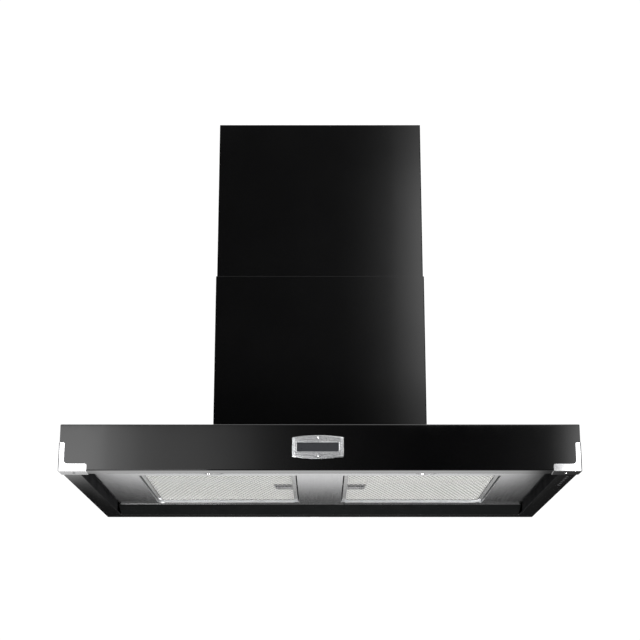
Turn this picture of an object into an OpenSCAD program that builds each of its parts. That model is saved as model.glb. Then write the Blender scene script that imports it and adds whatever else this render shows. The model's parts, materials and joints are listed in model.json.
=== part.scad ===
// Ceiling-hung island range hood with a telescopic chimney, two grease filters and a push-button row.
// The origin is at the centre of the ceiling plate's top face. Most modules are written from the rim,
// the canopy's lowest folded edge, and at_rim() drops them into place. -Y is the front.

/* [Canopy] */
// Width of the canopy
canopy_w = 1000; // [980:5:1020]
// Depth of the canopy, front to back
canopy_d = 650; // [640:2:660]
// Height of the apron
apron_h = 90; // [88:1:96]
// Thickness of the folded sheet
sheet = 1.2; // [1:0.1:1.3]
// Outer radius of the sheet's folds
fold_r = 2; // [1.6:0.1:2.4]
// Depth of the bottom lip at the front and the back
end_lip = 39.5; // [38:0.5:41]
// Width of the bottom lip at the sides
side_lip = 37; // [36:0.5:38]
// Width of the flange that turns in over the top deck
top_flange = 12; // [10:1:14]
// Height of the liner above the rim
liner_z = 15.4; // [14.8:0.1:16]

/* [Chimney] */
// Height of the ceiling above the rim as delivered
total_h = 778; // [770:1:790]
// Width of the lower chimney
chimney_w = 435; // [434:0.5:436]
// Depth of the lower chimney
chimney_d = 350; // [349:0.5:351]
// Height of the lower chimney's top above the rim
lower_top = 436; // [432:1:442]
// Height of the upper chimney's bottom edge above the rim
upper_bottom = 224; // [215:1:230]
// Gap between the two chimneys on each side
telescope_gap = 0.8; // [0.6:0.1:1]

/* [Filters] */
// Distance of the filter bay's front edge from the apron
bay_front = 153; // [151:1:154]
// Distance of the filter bay's rear edge from the apron
bay_rear = 524; // [520:1:526]
// Half width of the steel strip between the filters
bay_inner = 47; // [46:0.5:48]
// Distance of the filter bay's outer edge from the middle
bay_outer = 367; // [365:1:370]
// Recess of the filters above the liner
filter_recess = 5; // [4.5:0.5:5.5]
// Thickness of a filter
filter_t = 9; // [8:0.5:9]
// Width of a filter's frame bars
frame_bar = 8; // [8:0.5:9]

/* [Controls and lights] */
// Distance of a lamp from the middle
lamp_x = 212; // [205:1:220]
// Distance of a lamp's centre from the apron
lamp_from_front = 97; // [92:1:100]
// Outer radius of a lamp's bezel
lamp_r = 35; // [33:0.5:36]
// Number of push buttons
button_count = 6; // [6]
// Distance between push buttons
button_pitch = 20.4; // [18:0.2:21]
// Distance of the first push button from the apron
button_from_front = 72; // [70:1:76]
// Radius of a push button's stem
button_r = 3; // [2.8:0.1:3.2]

/* [Blower] */
// Height of the impeller's axis above the rim
blower_z = 240; // [238:1:244]
// Outer radius of the impeller
impeller_r = 95; // [90:1:96]
// Half the width of the scroll housing
scroll_half = 95; // [93:1:96]
// Outer radius of the duct collar
collar_r = 75; // [75]
// Height of the duct collar
collar_h = 75; // [70:1:78]

/* [Ceiling fixing] */
// Distance between the ceiling bolts, left to right
bolt_x = 300; // [280:5:320]
// Distance between the ceiling bolts, front to back
bolt_y = 220; // [200:5:230]
// Radius of the ceiling bolt holes
bolt_r = 4.25; // [3.5:0.25:5]
// Radius of the duct opening in the ceiling plate
duct_hole_r = 85; // [80:1:90]

/* [Hidden] */
$fn = 48;

front_y = -canopy_d / 2;
deck_top = apron_h - sheet;
cut = 1;

// Running clearance of pins and shafts in their bores
run_gap = 0.05;

// Filter bay and filter edges
bay_y0 = front_y + bay_front;
bay_y1 = front_y + bay_rear;
bay_wall = 2;
bay_top = 48;
baffle_from_front = 552;
baffle_y0 = front_y + baffle_from_front;
baffle_y1 = -front_y - end_lip;
side_gap = 2;
inner_gap = 3;
end_gap = 1.5;
filter_x0 = bay_inner + inner_gap;
filter_x1 = bay_outer - side_gap;
filter_y0 = bay_y0 + end_gap;
filter_y1 = bay_y1 - end_gap;
filter_z = liner_z + filter_recess;
hinge_x = filter_x1 - 5.5;
hinge_z = filter_z + filter_t / 2;
hinge_pin_r = 2;

// Latch: a sliding bolt in a small housing, beside the filter's inner bar
latch_from_front = 319;
latch_y = front_y + latch_from_front;
latch_x0 = filter_x0 + frame_bar;
latch_x1 = latch_x0 + 38;
latch_half_y = 9;
latch_wall = 1.5;
latch_bolt_r = 1.8;
latch_bolt_z = filter_z + 4.5;

// Lamps and buttons
lamp_y = front_y + lamp_from_front;
lamp_neck_r = lamp_r - 4;
button_x = canopy_w / 2 - 16;
button_y0 = front_y + button_from_front;
button_hole_r = button_r + run_gap + 0.03;

// Scroll: the housing's radius grows by a steady spiral towards the outlet
scroll_r0 = impeller_r + 10;
scroll_growth = 33;
scroll_r1 = scroll_r0 + scroll_growth;
cutoff_angle = 60;
scroll_top = 140;
scroll_sheet = 1.2;
blower_y = (scroll_r1 - scroll_r0 * cos(cutoff_angle)) / 2;
inlet_r = 78;
shaft_r = 5;
collar_z = blower_z + scroll_top;
damper_z = collar_z + 18;
damper_pin_r = 2;

// Telescopic uprights: the canopy's four slide inside the ceiling's four
upright_x = 200;
upright_y = 158;
upright_leg = 30;
upright_t = 2;
upright_gap = 0.4;
upright_bottom = 300;
inner_upright_top = 500;
clamp_bolt_z = upright_bottom + 20;
clamp_bolt_r = 2.5;
// Travel of the canopy up and down from its delivered height
rise = 100;
drop = 120;
upper_w = chimney_w - 2 * sheet - 2 * telescope_gap;
upper_d = chimney_d - 2 * sheet - 2 * telescope_gap;
plate_t = 3;
plate_lip = 22;

// ---------- helpers ----------

module at_rim() translate([0, 0, -total_h]) children();

module mirror_pair() {
    children();
    mirror([1, 0, 0]) children();
}

module block(x0, x1, y0, y1, z0, z1) translate([x0, y0, z0]) cube([x1 - x0, y1 - y0, z1 - z0]);

// Points of an arc from angle a0 to a1
function arc(cx, cy, r, a0, a1, n = 5) =
    [for (i = [0:n]) [cx + r * cos(a0 + (a1 - a0) * i / n), cy + r * sin(a0 + (a1 - a0) * i / n)]];

function round_rect_points(w, d, r) = concat(
    arc(w / 2 - r, d / 2 - r, r, 0, 90), arc(r - w / 2, d / 2 - r, r, 90, 180),
    arc(r - w / 2, r - d / 2, r, 180, 270), arc(w / 2 - r, r - d / 2, r, 270, 360));

module round_rect(w, d, r) polygon(round_rect_points(w, d, r));

// Extrudes an outline drawn in Y and Z along X, centred
module extrude_x(length) rotate([90, 0, 90]) linear_extrude(length, center = true) children();

// Extrudes an outline drawn in X and Z along Y, from y0 to y1
module extrude_y(y0, y1) translate([0, y1, 0]) rotate([90, 0, 0]) linear_extrude(y1 - y0) children();

module x_cylinder(x0, x1, r) translate([x0, 0, 0]) rotate([0, 90, 0]) cylinder(h = x1 - x0, r = r);

module y_cylinder(y0, y1, r) translate([0, y1, 0]) rotate([90, 0, 0]) cylinder(h = y1 - y0, r = r);

function unit(v) = v / norm(v);

// Closed solid through a list of rings with equal point counts
module skin(rings) {
    n = len(rings[0]);
    last = len(rings) - 1;
    sides = [for (i = [0:last - 1], k = [0:n - 1])
        let (a = n * i + k, b = n * i + (k + 1) % n) each [[a, b + n, b], [a, a + n, b + n]]];
    caps = [[for (k = [0:n - 1]) k], [for (k = [n - 1:-1:0]) n * last + k]];
    polyhedron([for (r = rings) each r], concat(sides, caps));
}

// ---------- canopy shell ----------

// Folded C profile: top flange, face, bottom lip and the lip's upturned wall
module panel_profile(lip, wall_z) {
    inner_r = fold_r - sheet;
    polygon(concat(
        [[top_flange, apron_h]],
        arc(fold_r, apron_h - fold_r, fold_r, 90, 180),
        arc(fold_r, fold_r, fold_r, 180, 270),
        arc(lip - fold_r, fold_r, fold_r, 270, 360),
        [[lip, wall_z], [lip - sheet, wall_z]],
        arc(lip - fold_r, fold_r, inner_r, 360, 270),
        arc(fold_r, fold_r, inner_r, 270, 180),
        arc(fold_r, apron_h - fold_r, inner_r, 180, 90),
        [[top_flange, apron_h - sheet]]));
}

// Plan of the front panel, mitred from the outer corner to the lips' inner corner
module end_mitre() {
    translate([0, 0, -cut]) linear_extrude(apron_h + 2 * cut)
        polygon([[-canopy_w / 2, front_y], [canopy_w / 2, front_y],
            [canopy_w / 2 - side_lip, front_y + end_lip], [side_lip - canopy_w / 2, front_y + end_lip]]);
}

// Plan of the left side panel, mitred to meet the front and the rear
module side_mitre() {
    translate([0, 0, -cut]) linear_extrude(apron_h + 2 * cut)
        polygon([[-canopy_w / 2, front_y], [side_lip - canopy_w / 2, front_y + end_lip],
            [side_lip - canopy_w / 2, -front_y - end_lip], [-canopy_w / 2, -front_y]]);
}

module end_panel(wall_z) {
    intersection() {
        translate([0, front_y, 0]) extrude_x(canopy_w) panel_profile(end_lip, wall_z);
        end_mitre();
    }
}

module front_apron() color("#161617") at_rim() end_panel(liner_z);

module rear_apron() {
    notch_x0 = -22;
    notch_w = 19;
    notch_h = 3;
    color("#161617") at_rim() difference() {
        mirror([0, 1, 0]) end_panel(fold_r + sheet);
        block(notch_x0, notch_x0 + notch_w, -front_y - notch_h, -front_y + cut, -cut, notch_h);
    }
}

// The lip's wall stops where the sloping baffle starts
module side_panel_shape() {
    difference() {
        intersection() {
            translate([-canopy_w / 2, 0, 0]) rotate([0, 0, -90])
                extrude_x(canopy_d) panel_profile(side_lip, liner_z);
            side_mitre();
        }
        block(side_lip - canopy_w / 2 - fold_r, side_lip - canopy_w / 2 + cut,
            baffle_y0, -front_y, fold_r, liner_z + cut);
    }
}

module left_side_panel() color("#161617") at_rim() side_panel_shape();

module right_side_panel() {
    color("#161617") at_rim() difference() {
        mirror([1, 0, 0]) side_panel_shape();
        for (i = [0:button_count - 1])
            translate([button_x, button_y0 + i * button_pitch, -cut])
                cylinder(h = sheet + 2 * cut, r = button_hole_r);
    }
}

// Deck across the canopy, open in the middle for the blower's intake
module top_deck() {
    edge = sheet + 1;
    open_x = 165;
    open_y = 120;
    color("#1c1c1d") at_rim() difference() {
        block(edge - canopy_w / 2, canopy_w / 2 - edge, front_y + edge, -front_y - edge,
            deck_top - sheet, deck_top);
        block(-open_x, open_x, -open_y, open_y, deck_top - 2 * sheet, deck_top + cut);
        translate([gland_x, 0, deck_top - 2 * sheet]) cylinder(h = 3 * sheet, r = gland_r + 0.2);
    }
}

module liner_panel() {
    color("#b9babb") at_rim() difference() {
        block(side_lip - canopy_w / 2, canopy_w / 2 - side_lip, bay_y0 - bay_wall, baffle_y0,
            liner_z, liner_z + sheet);
        mirror_pair() block(bay_inner, bay_outer, bay_y0, bay_y1, liner_z - cut, liner_z + sheet + cut);
    }
}

module lamp_strip() {
    color("#c9cacb") at_rim() difference() {
        block(side_lip - canopy_w / 2, canopy_w / 2 - side_lip, front_y + end_lip, bay_y0 - bay_wall,
            liner_z, liner_z + sheet);
        mirror_pair() translate([lamp_x, lamp_y, liner_z - cut])
            cylinder(h = sheet + 2 * cut, r = lamp_neck_r);
    }
}

// Black plate that slopes from the liner down to the rear lip
module rear_baffle() {
    color("#1d1e20") at_rim() extrude_x(canopy_w - 2 * side_lip - 4)
        polygon([[baffle_y0, liner_z], [baffle_y1, 0], [baffle_y1, sheet], [baffle_y0 + 5, liner_z],
            [baffle_y0 + 5, bay_top / 2], [baffle_y0, bay_top / 2]]);
}

// Recess walls, filter stops and the hinge pins' bores; the stops end short of the hinge, where the
// frame's outer edge rises as the filter swings down
module filter_bay() {
    stop_z = filter_z + filter_t + 1;
    stop_w = 10;
    stop_x1 = hinge_x - 9;
    color("#9b9c9e") at_rim() difference() {
        union() {
            bay_end_wall(bay_y0 - bay_wall, bay_y0);
            bay_end_wall(bay_y1, bay_y1 + bay_wall);
            mirror_pair() {
                block(bay_outer, bay_outer + bay_wall, bay_y0, bay_y1, liner_z + sheet, bay_top);
                block(bay_inner - bay_wall, bay_inner, bay_y0, bay_y1, liner_z + sheet, bay_top);
                block(bay_inner, stop_x1, bay_y0, bay_y0 + stop_w, stop_z, stop_z + sheet);
                block(bay_inner, stop_x1, bay_y1 - stop_w, bay_y1, stop_z, stop_z + sheet);
            }
        }
        mirror_pair() translate([hinge_x, 0, hinge_z])
            y_cylinder(bay_y0 - bay_wall - cut, bay_y1 + bay_wall + cut, hinge_pin_r + run_gap);
    }
}

module bay_end_wall(y0, y1) {
    block(-bay_outer - bay_wall, bay_outer + bay_wall, y0, y1, liner_z + sheet, bay_top);
}

// ---------- corner brackets, screws and name plate ----------

// L outline in the first quadrant, with rounded arm ends and a fillet inside the corner
module bracket_outline(arm_x, arm_y, width_x, width_y) {
    end_r = 2.5;
    fillet_r = 7;
    polygon(concat(
        [[0, 0]],
        arc(arm_x - end_r, end_r, end_r, -90, 0),
        arc(arm_x - end_r, width_y - end_r, end_r, 0, 90),
        arc(width_x + fillet_r, width_y + fillet_r, fillet_r, 270, 180),
        arc(width_x - end_r, arm_y - end_r, end_r, 0, 90),
        [[0, arm_y]]));
}

module corner_bracket_shape() {
    arm_front = 53;
    arm_side = 43;
    arm_up = 54;
    upright_w = 9.5;
    flat_w = 12.5;
    x0 = -canopy_w / 2;
    inner_end = arm_front - 2.5;
    color("#e8e9ea") at_rim() {
        extrude_y(front_y - sheet, front_y)
            translate([x0 - sheet, -sheet])
                bracket_outline(arm_front + sheet, arm_up + sheet, upright_w + sheet, flat_w + sheet);
        translate([x0 - sheet, front_y, -sheet]) rotate([90, 0, 90]) linear_extrude(sheet)
            bracket_outline(arm_side, arm_up + sheet, upright_w, flat_w + sheet);
        translate([0, 0, -sheet]) linear_extrude(sheet)
            polygon([[x0, front_y], [x0 + arm_front, front_y], [x0 + inner_end, front_y + arm_side],
                [x0, front_y + arm_side]]);
    }
}

module corner_bracket_left() corner_bracket_shape();

module corner_bracket_right() mirror([1, 0, 0]) corner_bracket_shape();

// Pan head with a cross recess, its shank running up +Z from the head's seat
module screw(head_r, head_h, shank_r, shank_l) {
    recess_w = head_r * 0.28;
    difference() {
        union() {
            translate([0, 0, -head_h]) cylinder(h = head_h, r1 = head_r * 0.82, r2 = head_r);
            cylinder(h = shank_l, r = shank_r);
        }
        for (turn = [0, 90])
            rotate([0, 0, turn]) translate([0, 0, -head_h])
                cube([head_r * 1.1, recess_w, head_h], center = true);
    }
}

// Screws that hold the corner brackets and the lower chimney
module cover_screws() {
    bracket_screw_x = canopy_w / 2 - 26;
    bracket_screw_y = front_y + 24;
    chimney_screw_z = apron_h + 15;
    chimney_screw_y = upright_y - 15;
    chimney_screw_l = 21;
    color("#cfd0d2") at_rim() mirror_pair() {
        translate([bracket_screw_x, bracket_screw_y, -sheet]) screw(3, 1.1, 1.6, 7);
        for (y = [-chimney_screw_y, chimney_screw_y])
            translate([chimney_w / 2, y, chimney_screw_z]) rotate([0, -90, 0])
                screw(3.5, 1.4, 1.8, chimney_screw_l);
    }
}

badge_x = -4;
badge_z = 45.2;
badge_t = 1.5;
badge_w = 99;
badge_h = 45.6;
badge_end_h = 39;

// Plate with bowed top and bottom edges
module badge_plate() {
    bow = (badge_h - badge_end_h) / 2;
    bow_r = (badge_w * badge_w / 4 + bow * bow) / (2 * bow);
    half_angle = asin(badge_w / 2 / bow_r);
    color("#c4c5c6") at_rim() translate([badge_x, 0, badge_z])
        extrude_y(front_y - badge_t, front_y)
            polygon(concat(
                arc(0, badge_h / 2 - bow_r, bow_r, 90 - half_angle, 90 + half_angle, 16),
                arc(0, bow_r - badge_h / 2, bow_r, 270 - half_angle, 270 + half_angle, 16)));
}

module badge_inset() {
    inset_w = 83;
    inset_h = 17.5;
    inset_t = 0.6;
    color("#2b2c2e") at_rim() translate([badge_x, 0, badge_z])
        extrude_y(front_y - badge_t - inset_t, front_y - badge_t) round_rect(inset_w, inset_h, 1.5);
}

module badge_rivets() {
    rivet_r = 2.3;
    rivet_h = 1.2;
    rivet_z = 18;
    shank_r = 1;
    dome_r = (rivet_r * rivet_r + rivet_h * rivet_h) / (2 * rivet_h);
    color("#eeeeef") at_rim() for (dz = [-rivet_z, rivet_z])
        translate([badge_x, front_y - badge_t, badge_z + dz]) rotate([90, 0, 0]) {
            intersection() {
                translate([0, 0, rivet_h - dome_r]) sphere(r = dome_r);
                cylinder(h = rivet_h, r = rivet_r + cut);
            }
            translate([0, 0, -badge_t - sheet]) cylinder(h = badge_t + sheet, r = shank_r);
        }
}

// ---------- lamps, switches and wiring ----------

module lamp_bezels() {
    rim_h = 2;
    neck_h = 14;
    color("#d6d7d8") at_rim() mirror_pair() translate([lamp_x, lamp_y, 0])
        rotate_extrude() polygon([[lamp_neck_r - 2, liner_z - rim_h], [lamp_r - 1.5, liner_z - rim_h],
            [lamp_r, liner_z - 0.8], [lamp_r, liner_z], [lamp_neck_r, liner_z],
            [lamp_neck_r, liner_z + neck_h], [lamp_neck_r - 2, liner_z + neck_h]]);
}

module lamp_lenses() {
    lens_r = lamp_neck_r - 2.2;
    lens_h = 3;
    color("#f4f2ea") at_rim() mirror_pair() translate([lamp_x, lamp_y, liner_z - 1])
        rotate_extrude() polygon(concat([[0, lens_h], [0, -0.6]],
            [for (i = [1:6]) [lens_r * i / 6, -0.6 + 0.9 * pow(i / 6, 2)]], [[lens_r, lens_h]]));
}

module lamp_bodies() {
    base_z = liner_z + 14;
    base_h = 4;
    fin_w = 36;
    fin_t = 2;
    fin_h = 14;
    fin_pitch = 7;
    color("#8d8e90") at_rim() mirror_pair() translate([lamp_x, lamp_y, base_z]) {
        cylinder(h = base_h, r = lamp_neck_r);
        for (i = [-3:3]) translate([0, i * fin_pitch, base_h + fin_h / 2])
            cube([fin_w, fin_t, fin_h], center = true);
    }
}

// Channel cover over the buttons' switches, inside the right side lip
module switch_housing() {
    side_gap = 3;
    end_gap = 12;
    x0 = canopy_w / 2 - side_lip + side_gap;
    x1 = canopy_w / 2 - side_gap;
    y0 = button_y0 - end_gap;
    y1 = button_y0 + (button_count - 1) * button_pitch + end_gap;
    wall = 1.6;
    top = 22;
    color("#2f3031") at_rim() difference() {
        block(x0, x1, y0, y1, sheet, top);
        block(x0 + wall, x1 - wall, y0 + wall, y1 - wall, sheet - cut, top - wall);
    }
}

module switch_board() {
    side_gap = 4.6;
    end_gap = 10;
    x0 = canopy_w / 2 - side_lip + side_gap;
    x1 = canopy_w / 2 - side_gap;
    y0 = button_y0 - end_gap;
    y1 = button_y0 + (button_count - 1) * button_pitch + end_gap;
    board_z = 12;
    board_t = 1.6;
    switch_half = 3;
    switch_h = 2.2;
    color("#2f6b43") at_rim() {
        block(x0, x1, y0, y1, board_z, board_z + board_t);
        for (i = [0:button_count - 1])
            translate([button_x, button_y0 + i * button_pitch, 0])
                block(-switch_half, switch_half, -switch_half, switch_half, board_z - switch_h, board_z);
    }
}

// Button with a domed tip, a stem that runs in the lip's hole, and a collar that keeps it in
module button(i) {
    tip_z = -1;
    color("#47494b") at_rim() translate([button_x, button_y0 + (i - 1) * button_pitch, 0])
        rotate_extrude() polygon([[0, tip_z], [button_r * 0.5, tip_z + 0.12], [button_r * 0.85, tip_z + 0.5],
            [button_r, tip_z + 1], [button_r, sheet + 0.2], [button_r + 1.2, sheet + 0.2],
            [button_r + 1.2, sheet + 1.4], [button_r - 1, sheet + 1.4], [button_r - 1, 8], [0, 8]]);
}

gland_x = -190;
gland_r = 8;
gland_bore_r = 4.75;
gland_top = deck_top + 16;
box_bottom = 50;

// Terminal box, hung under the deck below the gland
module terminal_box() {
    x0 = gland_x - 40;
    x1 = gland_x + 22;
    half_y = 45;
    wall = 2;
    top = deck_top - sheet;
    wire_hole_r = 3;
    wire_hole_z = 80;
    color("#4a4c4e") at_rim() difference() {
        block(x0, x1, -half_y, half_y, box_bottom, top);
        block(x0 + wall, x1 - wall, wall - half_y, half_y - wall, box_bottom + wall, top - wall);
        translate([gland_x, 0, top - wall - cut]) cylinder(h = wall + 2 * cut, r = gland_r + 0.2);
        translate([x1 - wall - cut, 0, wire_hole_z]) x_cylinder(0, wall + 2 * cut, wire_hole_r);
    }
}

module cable_gland() {
    color("#2a2b2c") at_rim() translate([gland_x, 0, 0]) rotate_extrude()
        polygon([[gland_bore_r, deck_top - 10], [gland_r, deck_top - 10], [gland_r, deck_top],
            [gland_r + 3, deck_top], [gland_r + 3, deck_top + 6], [gland_r + 1, deck_top + 8],
            [gland_r, gland_top], [gland_bore_r, gland_top]]);
}

// Corner list with each inner corner rounded off over a distance c
function rounded(p, c) = [for (i = [0:len(p) - 1])
    each i == 0 || i == len(p) - 1 ? [p[i]] :
        let (a = c * unit(p[i - 1] - p[i]), b = c * unit(p[i + 1] - p[i]))
            [p[i] + a, p[i] + (a + b) / 4, p[i] + b]];

// Tube of radius r along a list of points
module tube(p, r) {
    sides = 8;
    last = len(p) - 1;
    reference = [0.2, 0.1, 1];
    skin([for (i = [0:last])
        let (t = unit(p[min(i + 1, last)] - p[max(i - 1, 0)]))
        let (u = unit(cross(t, reference)), v = cross(t, u))
            [for (k = [0:sides - 1]) let (a = k * 360 / sides) p[i] + r * (u * cos(a) + v * sin(a))]]);
}

// Held wiring from the terminal box to the lamp driver, the lamps and the switch board
module wiring_harness() {
    wire_r = 2.2;
    bend = 9;
    run_z = 82;
    low_z = run_z - 12;
    box_side = gland_x + 23;
    driver_left = -53;
    driver_right = 73;
    front_run = -262;
    corner_x = -160;
    lamp_top = liner_z + 35;
    supply = [[box_side, 0, 80], [corner_x, 0, run_z], [corner_x, -150, run_z], [corner_x, -210, run_z],
        [driver_left, front_run, run_z - 6]];
    switches = [[driver_right, front_run, run_z - 6], [300, front_run, run_z], [440, front_run, run_z],
        [480, -200, 26]];
    left_lamp = [[driver_left, front_run - 8, low_z], [-lamp_x, front_run, low_z - 8],
        [-lamp_x, lamp_y, lamp_top]];
    right_lamp = [[driver_right, front_run - 8, low_z], [lamp_x, front_run, low_z - 8],
        [lamp_x, lamp_y, lamp_top]];
    color("#3b3b3d") at_rim() for (route = [supply, switches, left_lamp, right_lamp])
        tube(rounded(route, bend), wire_r);
}

module lamp_driver() {
    x0 = -50;
    x1 = 70;
    y0 = front_y + 40;
    y1 = y0 + 40;
    bottom = 58;
    color("#e3e3e0") at_rim() block(x0, x1, y0, y1, bottom, deck_top - sheet);
}

// ---------- chimney and frame ----------

// Front half of a folded chimney cover; the halves meet at the middle of the sides
module half_cover(w, d, z0, z1) {
    seam = 0.15;
    translate([0, 0, z0]) linear_extrude(z1 - z0) difference() {
        round_rect(w, d, fold_r);
        round_rect(w - 2 * sheet, d - 2 * sheet, fold_r - sheet);
        translate([-w, -seam]) square([2 * w, d]);
    }
}

module lower_chimney_front() {
    color("#121213") at_rim() half_cover(chimney_w, chimney_d, deck_top, lower_top);
}

module lower_chimney_rear() {
    color("#121213") at_rim() mirror([0, 1, 0]) half_cover(chimney_w, chimney_d, deck_top, lower_top);
}

module upper_chimney_front() {
    color("#121213") at_rim() half_cover(upper_w, upper_d, upper_bottom, total_h);
}

module upper_chimney_rear() {
    color("#121213") at_rim() mirror([0, 1, 0]) half_cover(upper_w, upper_d, upper_bottom, total_h);
}

plate_gap = 0.3;
plate_w = upper_w - 2 * sheet - 2 * plate_gap;
plate_d = upper_d - 2 * sheet - 2 * plate_gap;

module ceiling_plate() {
    tab_half = 100;
    tab_t = 2;
    color("#a9abad") difference() {
        union() {
            block(-plate_w / 2, plate_w / 2, -plate_d / 2, plate_d / 2, -plate_t, 0);
            mirror_pair() block(plate_w / 2 - tab_t, plate_w / 2, -tab_half, tab_half, -plate_lip,
                -plate_t);
        }
        translate([0, 0, -plate_t - cut]) cylinder(h = plate_t + 2 * cut, r = duct_hole_r, $fn = 96);
        for (x = [-bolt_x / 2, bolt_x / 2], y = [-bolt_y / 2, bolt_y / 2])
            translate([x, y, -plate_t - cut]) cylinder(h = plate_t + 2 * cut, r = bolt_r);
    }
}

// Four equal-leg angles, given the outer corner, the leg and the height span
module angle_posts(x, y, leg, z0, z1) {
    mirror_pair() for (side = [-1, 1]) scale([1, side, 1]) {
        block(x - leg, x, y - upright_t, y, z0, z1);
        block(x - upright_t, x, y - leg, y - upright_t, z0, z1);
    }
}

module ceiling_uprights() {
    color("#a9abad") at_rim()
        angle_posts(upright_x, upright_y, upright_leg, upright_bottom, total_h - plate_t);
}

inner_x = upright_x - upright_t - upright_gap;
inner_y = upright_y - upright_t - upright_gap;
clamp_x = upright_x - 17;

module canopy_uprights() {
    slot_half = clamp_bolt_r + 0.6;
    color("#97999b") at_rim() difference() {
        angle_posts(inner_x, inner_y, upright_leg - 4, deck_top, inner_upright_top);
        mirror_pair() for (side = [-1, 1])
            block(clamp_x - slot_half, clamp_x + slot_half, side * inner_y - 4, side * inner_y + 4,
                clamp_bolt_z - rise - 4, clamp_bolt_z + drop + 4);
    }
}

// Bolts that clamp the telescopic uprights, and the upper chimney's screws
module frame_fasteners() {
    nut_r = 4.6;
    nut_h = 3.2;
    nut_y = inner_y - upright_t - upright_gap;
    screw_y = 60;
    color("#c2c4c6") at_rim() {
        mirror_pair() for (side = [0, 1]) mirror([0, side, 0]) translate([clamp_x, 0, clamp_bolt_z]) {
            y_cylinder(nut_y - nut_h, upright_y, clamp_bolt_r);
            translate([0, upright_y, 0]) rotate([-90, 0, 0]) cylinder(h = 3, r = nut_r, $fn = 6);
            translate([0, nut_y, 0]) rotate([90, 0, 0]) cylinder(h = nut_h, r = nut_r, $fn = 6);
        }
        mirror_pair() for (y = [-screw_y, screw_y])
            translate([upper_w / 2, y, total_h - plate_lip / 2 - 2]) rotate([0, -90, 0])
                screw(3.5, 1.4, 1.8, 8);
    }
}

// ---------- blower ----------

// Scroll outline in Y and Z about the impeller's axis, grown outwards by t
function scroll_points(t, top) = concat(
    [for (a = [cutoff_angle:-10:-180])
        let (r = scroll_r0 + scroll_growth * (cutoff_angle - a) / (cutoff_angle + 180) + t)
            [r * cos(a), r * sin(a)]],
    [[-scroll_r1 - t, top], [scroll_r0 * cos(cutoff_angle) + t, top]]);

module at_blower() at_rim() translate([0, blower_y, blower_z]) children();

module blower_side(x0, x1) {
    flange = 6;
    difference() {
        translate([(x0 + x1) / 2, 0, 0]) extrude_x(x1 - x0) polygon(scroll_points(flange, scroll_top));
        x_cylinder(x0 - cut, x1 + cut, inlet_r);
    }
}

module blower_side_left() color("#b3b6b8") at_blower() blower_side(-scroll_half - scroll_sheet, -scroll_half);

module blower_side_right() {
    color("#b3b6b8") at_blower() blower_side(scroll_half, scroll_half + scroll_sheet);
}

module scroll_wall() {
    color("#b3b6b8") at_blower() extrude_x(2 * scroll_half) difference() {
        polygon(scroll_points(scroll_sheet, scroll_top));
        polygon(scroll_points(0, scroll_top + cut));
    }
}

// Angles that stand on the deck across its opening and carry the blower's side plates
module blower_feet() {
    foot_x = scroll_half + scroll_sheet;
    foot_y = 150;
    foot_w = 20;
    foot_t = 2;
    top = blower_z - inlet_r - 12;
    color("#a3a6a8") at_rim() mirror_pair() {
        block(foot_x, foot_x + foot_w, -foot_y, foot_y, deck_top, deck_top + foot_t);
        block(foot_x, foot_x + foot_t, -foot_y, foot_y, deck_top + foot_t, top);
    }
}

module outlet_collar() {
    plate_half = 99;
    stop_r = collar_r - 4;
    color("#c6c8ca") at_rim() difference() {
        union() {
            block(-plate_half, plate_half, -plate_half, plate_half, collar_z, collar_z + scroll_sheet);
            translate([0, 0, collar_z]) cylinder(h = collar_h, r = collar_r, $fn = 96);
        }
        translate([0, 0, collar_z - cut]) cylinder(h = collar_h + 2 * cut, r = stop_r, $fn = 96);
        translate([0, 0, damper_z - 3]) cylinder(h = collar_h, r = collar_r - scroll_sheet, $fn = 96);
    }
}

module damper_pin() {
    reach = collar_r - scroll_sheet / 2;
    color("#d0d2d4") at_rim() translate([0, 0, damper_z + 2.2]) x_cylinder(-reach, reach, damper_pin_r);
}

// Half-round flap with knuckles on the shared pin; spans lists the knuckles' X ranges
module damper_flap(side, spans) {
    flap_r = collar_r - scroll_sheet - 1.2;
    flap_t = 1;
    knuckle_r = damper_pin_r + 1.6;
    color("#babdbf") at_rim() scale([1, side, 1]) translate([0, 0, damper_z]) difference() {
        union() {
            intersection() {
                translate([0, 0, -2]) cylinder(h = flap_t, r = flap_r, $fn = 96);
                block(-flap_r, flap_r, 4.4, flap_r, -3, 3);
            }
            for (s = spans) {
                translate([0, 0, 2.2]) x_cylinder(s[0], s[1], knuckle_r);
                block(s[0], s[1], 0, 6, -2, -1);
            }
        }
        translate([0, 0, 2.2]) x_cylinder(-collar_r, collar_r, damper_pin_r + run_gap);
    }
}

module damper_flap_front() damper_flap(-1, [[-55, -35], [5, 25]]);

module damper_flap_rear() damper_flap(1, [[-25, -5], [35, 55]]);

motor_r = 50;
motor_x0 = -130;
motor_x1 = -34;

module motor() {
    nose_l = 6;
    nose_r = 20;
    band_w = 10;
    band_h = 2;
    bore_l = 30;
    color("#6d7073") at_blower() difference() {
        union() {
            x_cylinder(motor_x0, motor_x1 - nose_l, motor_r);
            x_cylinder(motor_x1 - nose_l, motor_x1, nose_r);
            for (x = [motor_x0 + 5, motor_x0 + 50]) x_cylinder(x, x + band_w, motor_r + band_h);
        }
        x_cylinder(motor_x1 - bore_l, motor_x1 + cut, shaft_r + run_gap);
    }
}

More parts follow.
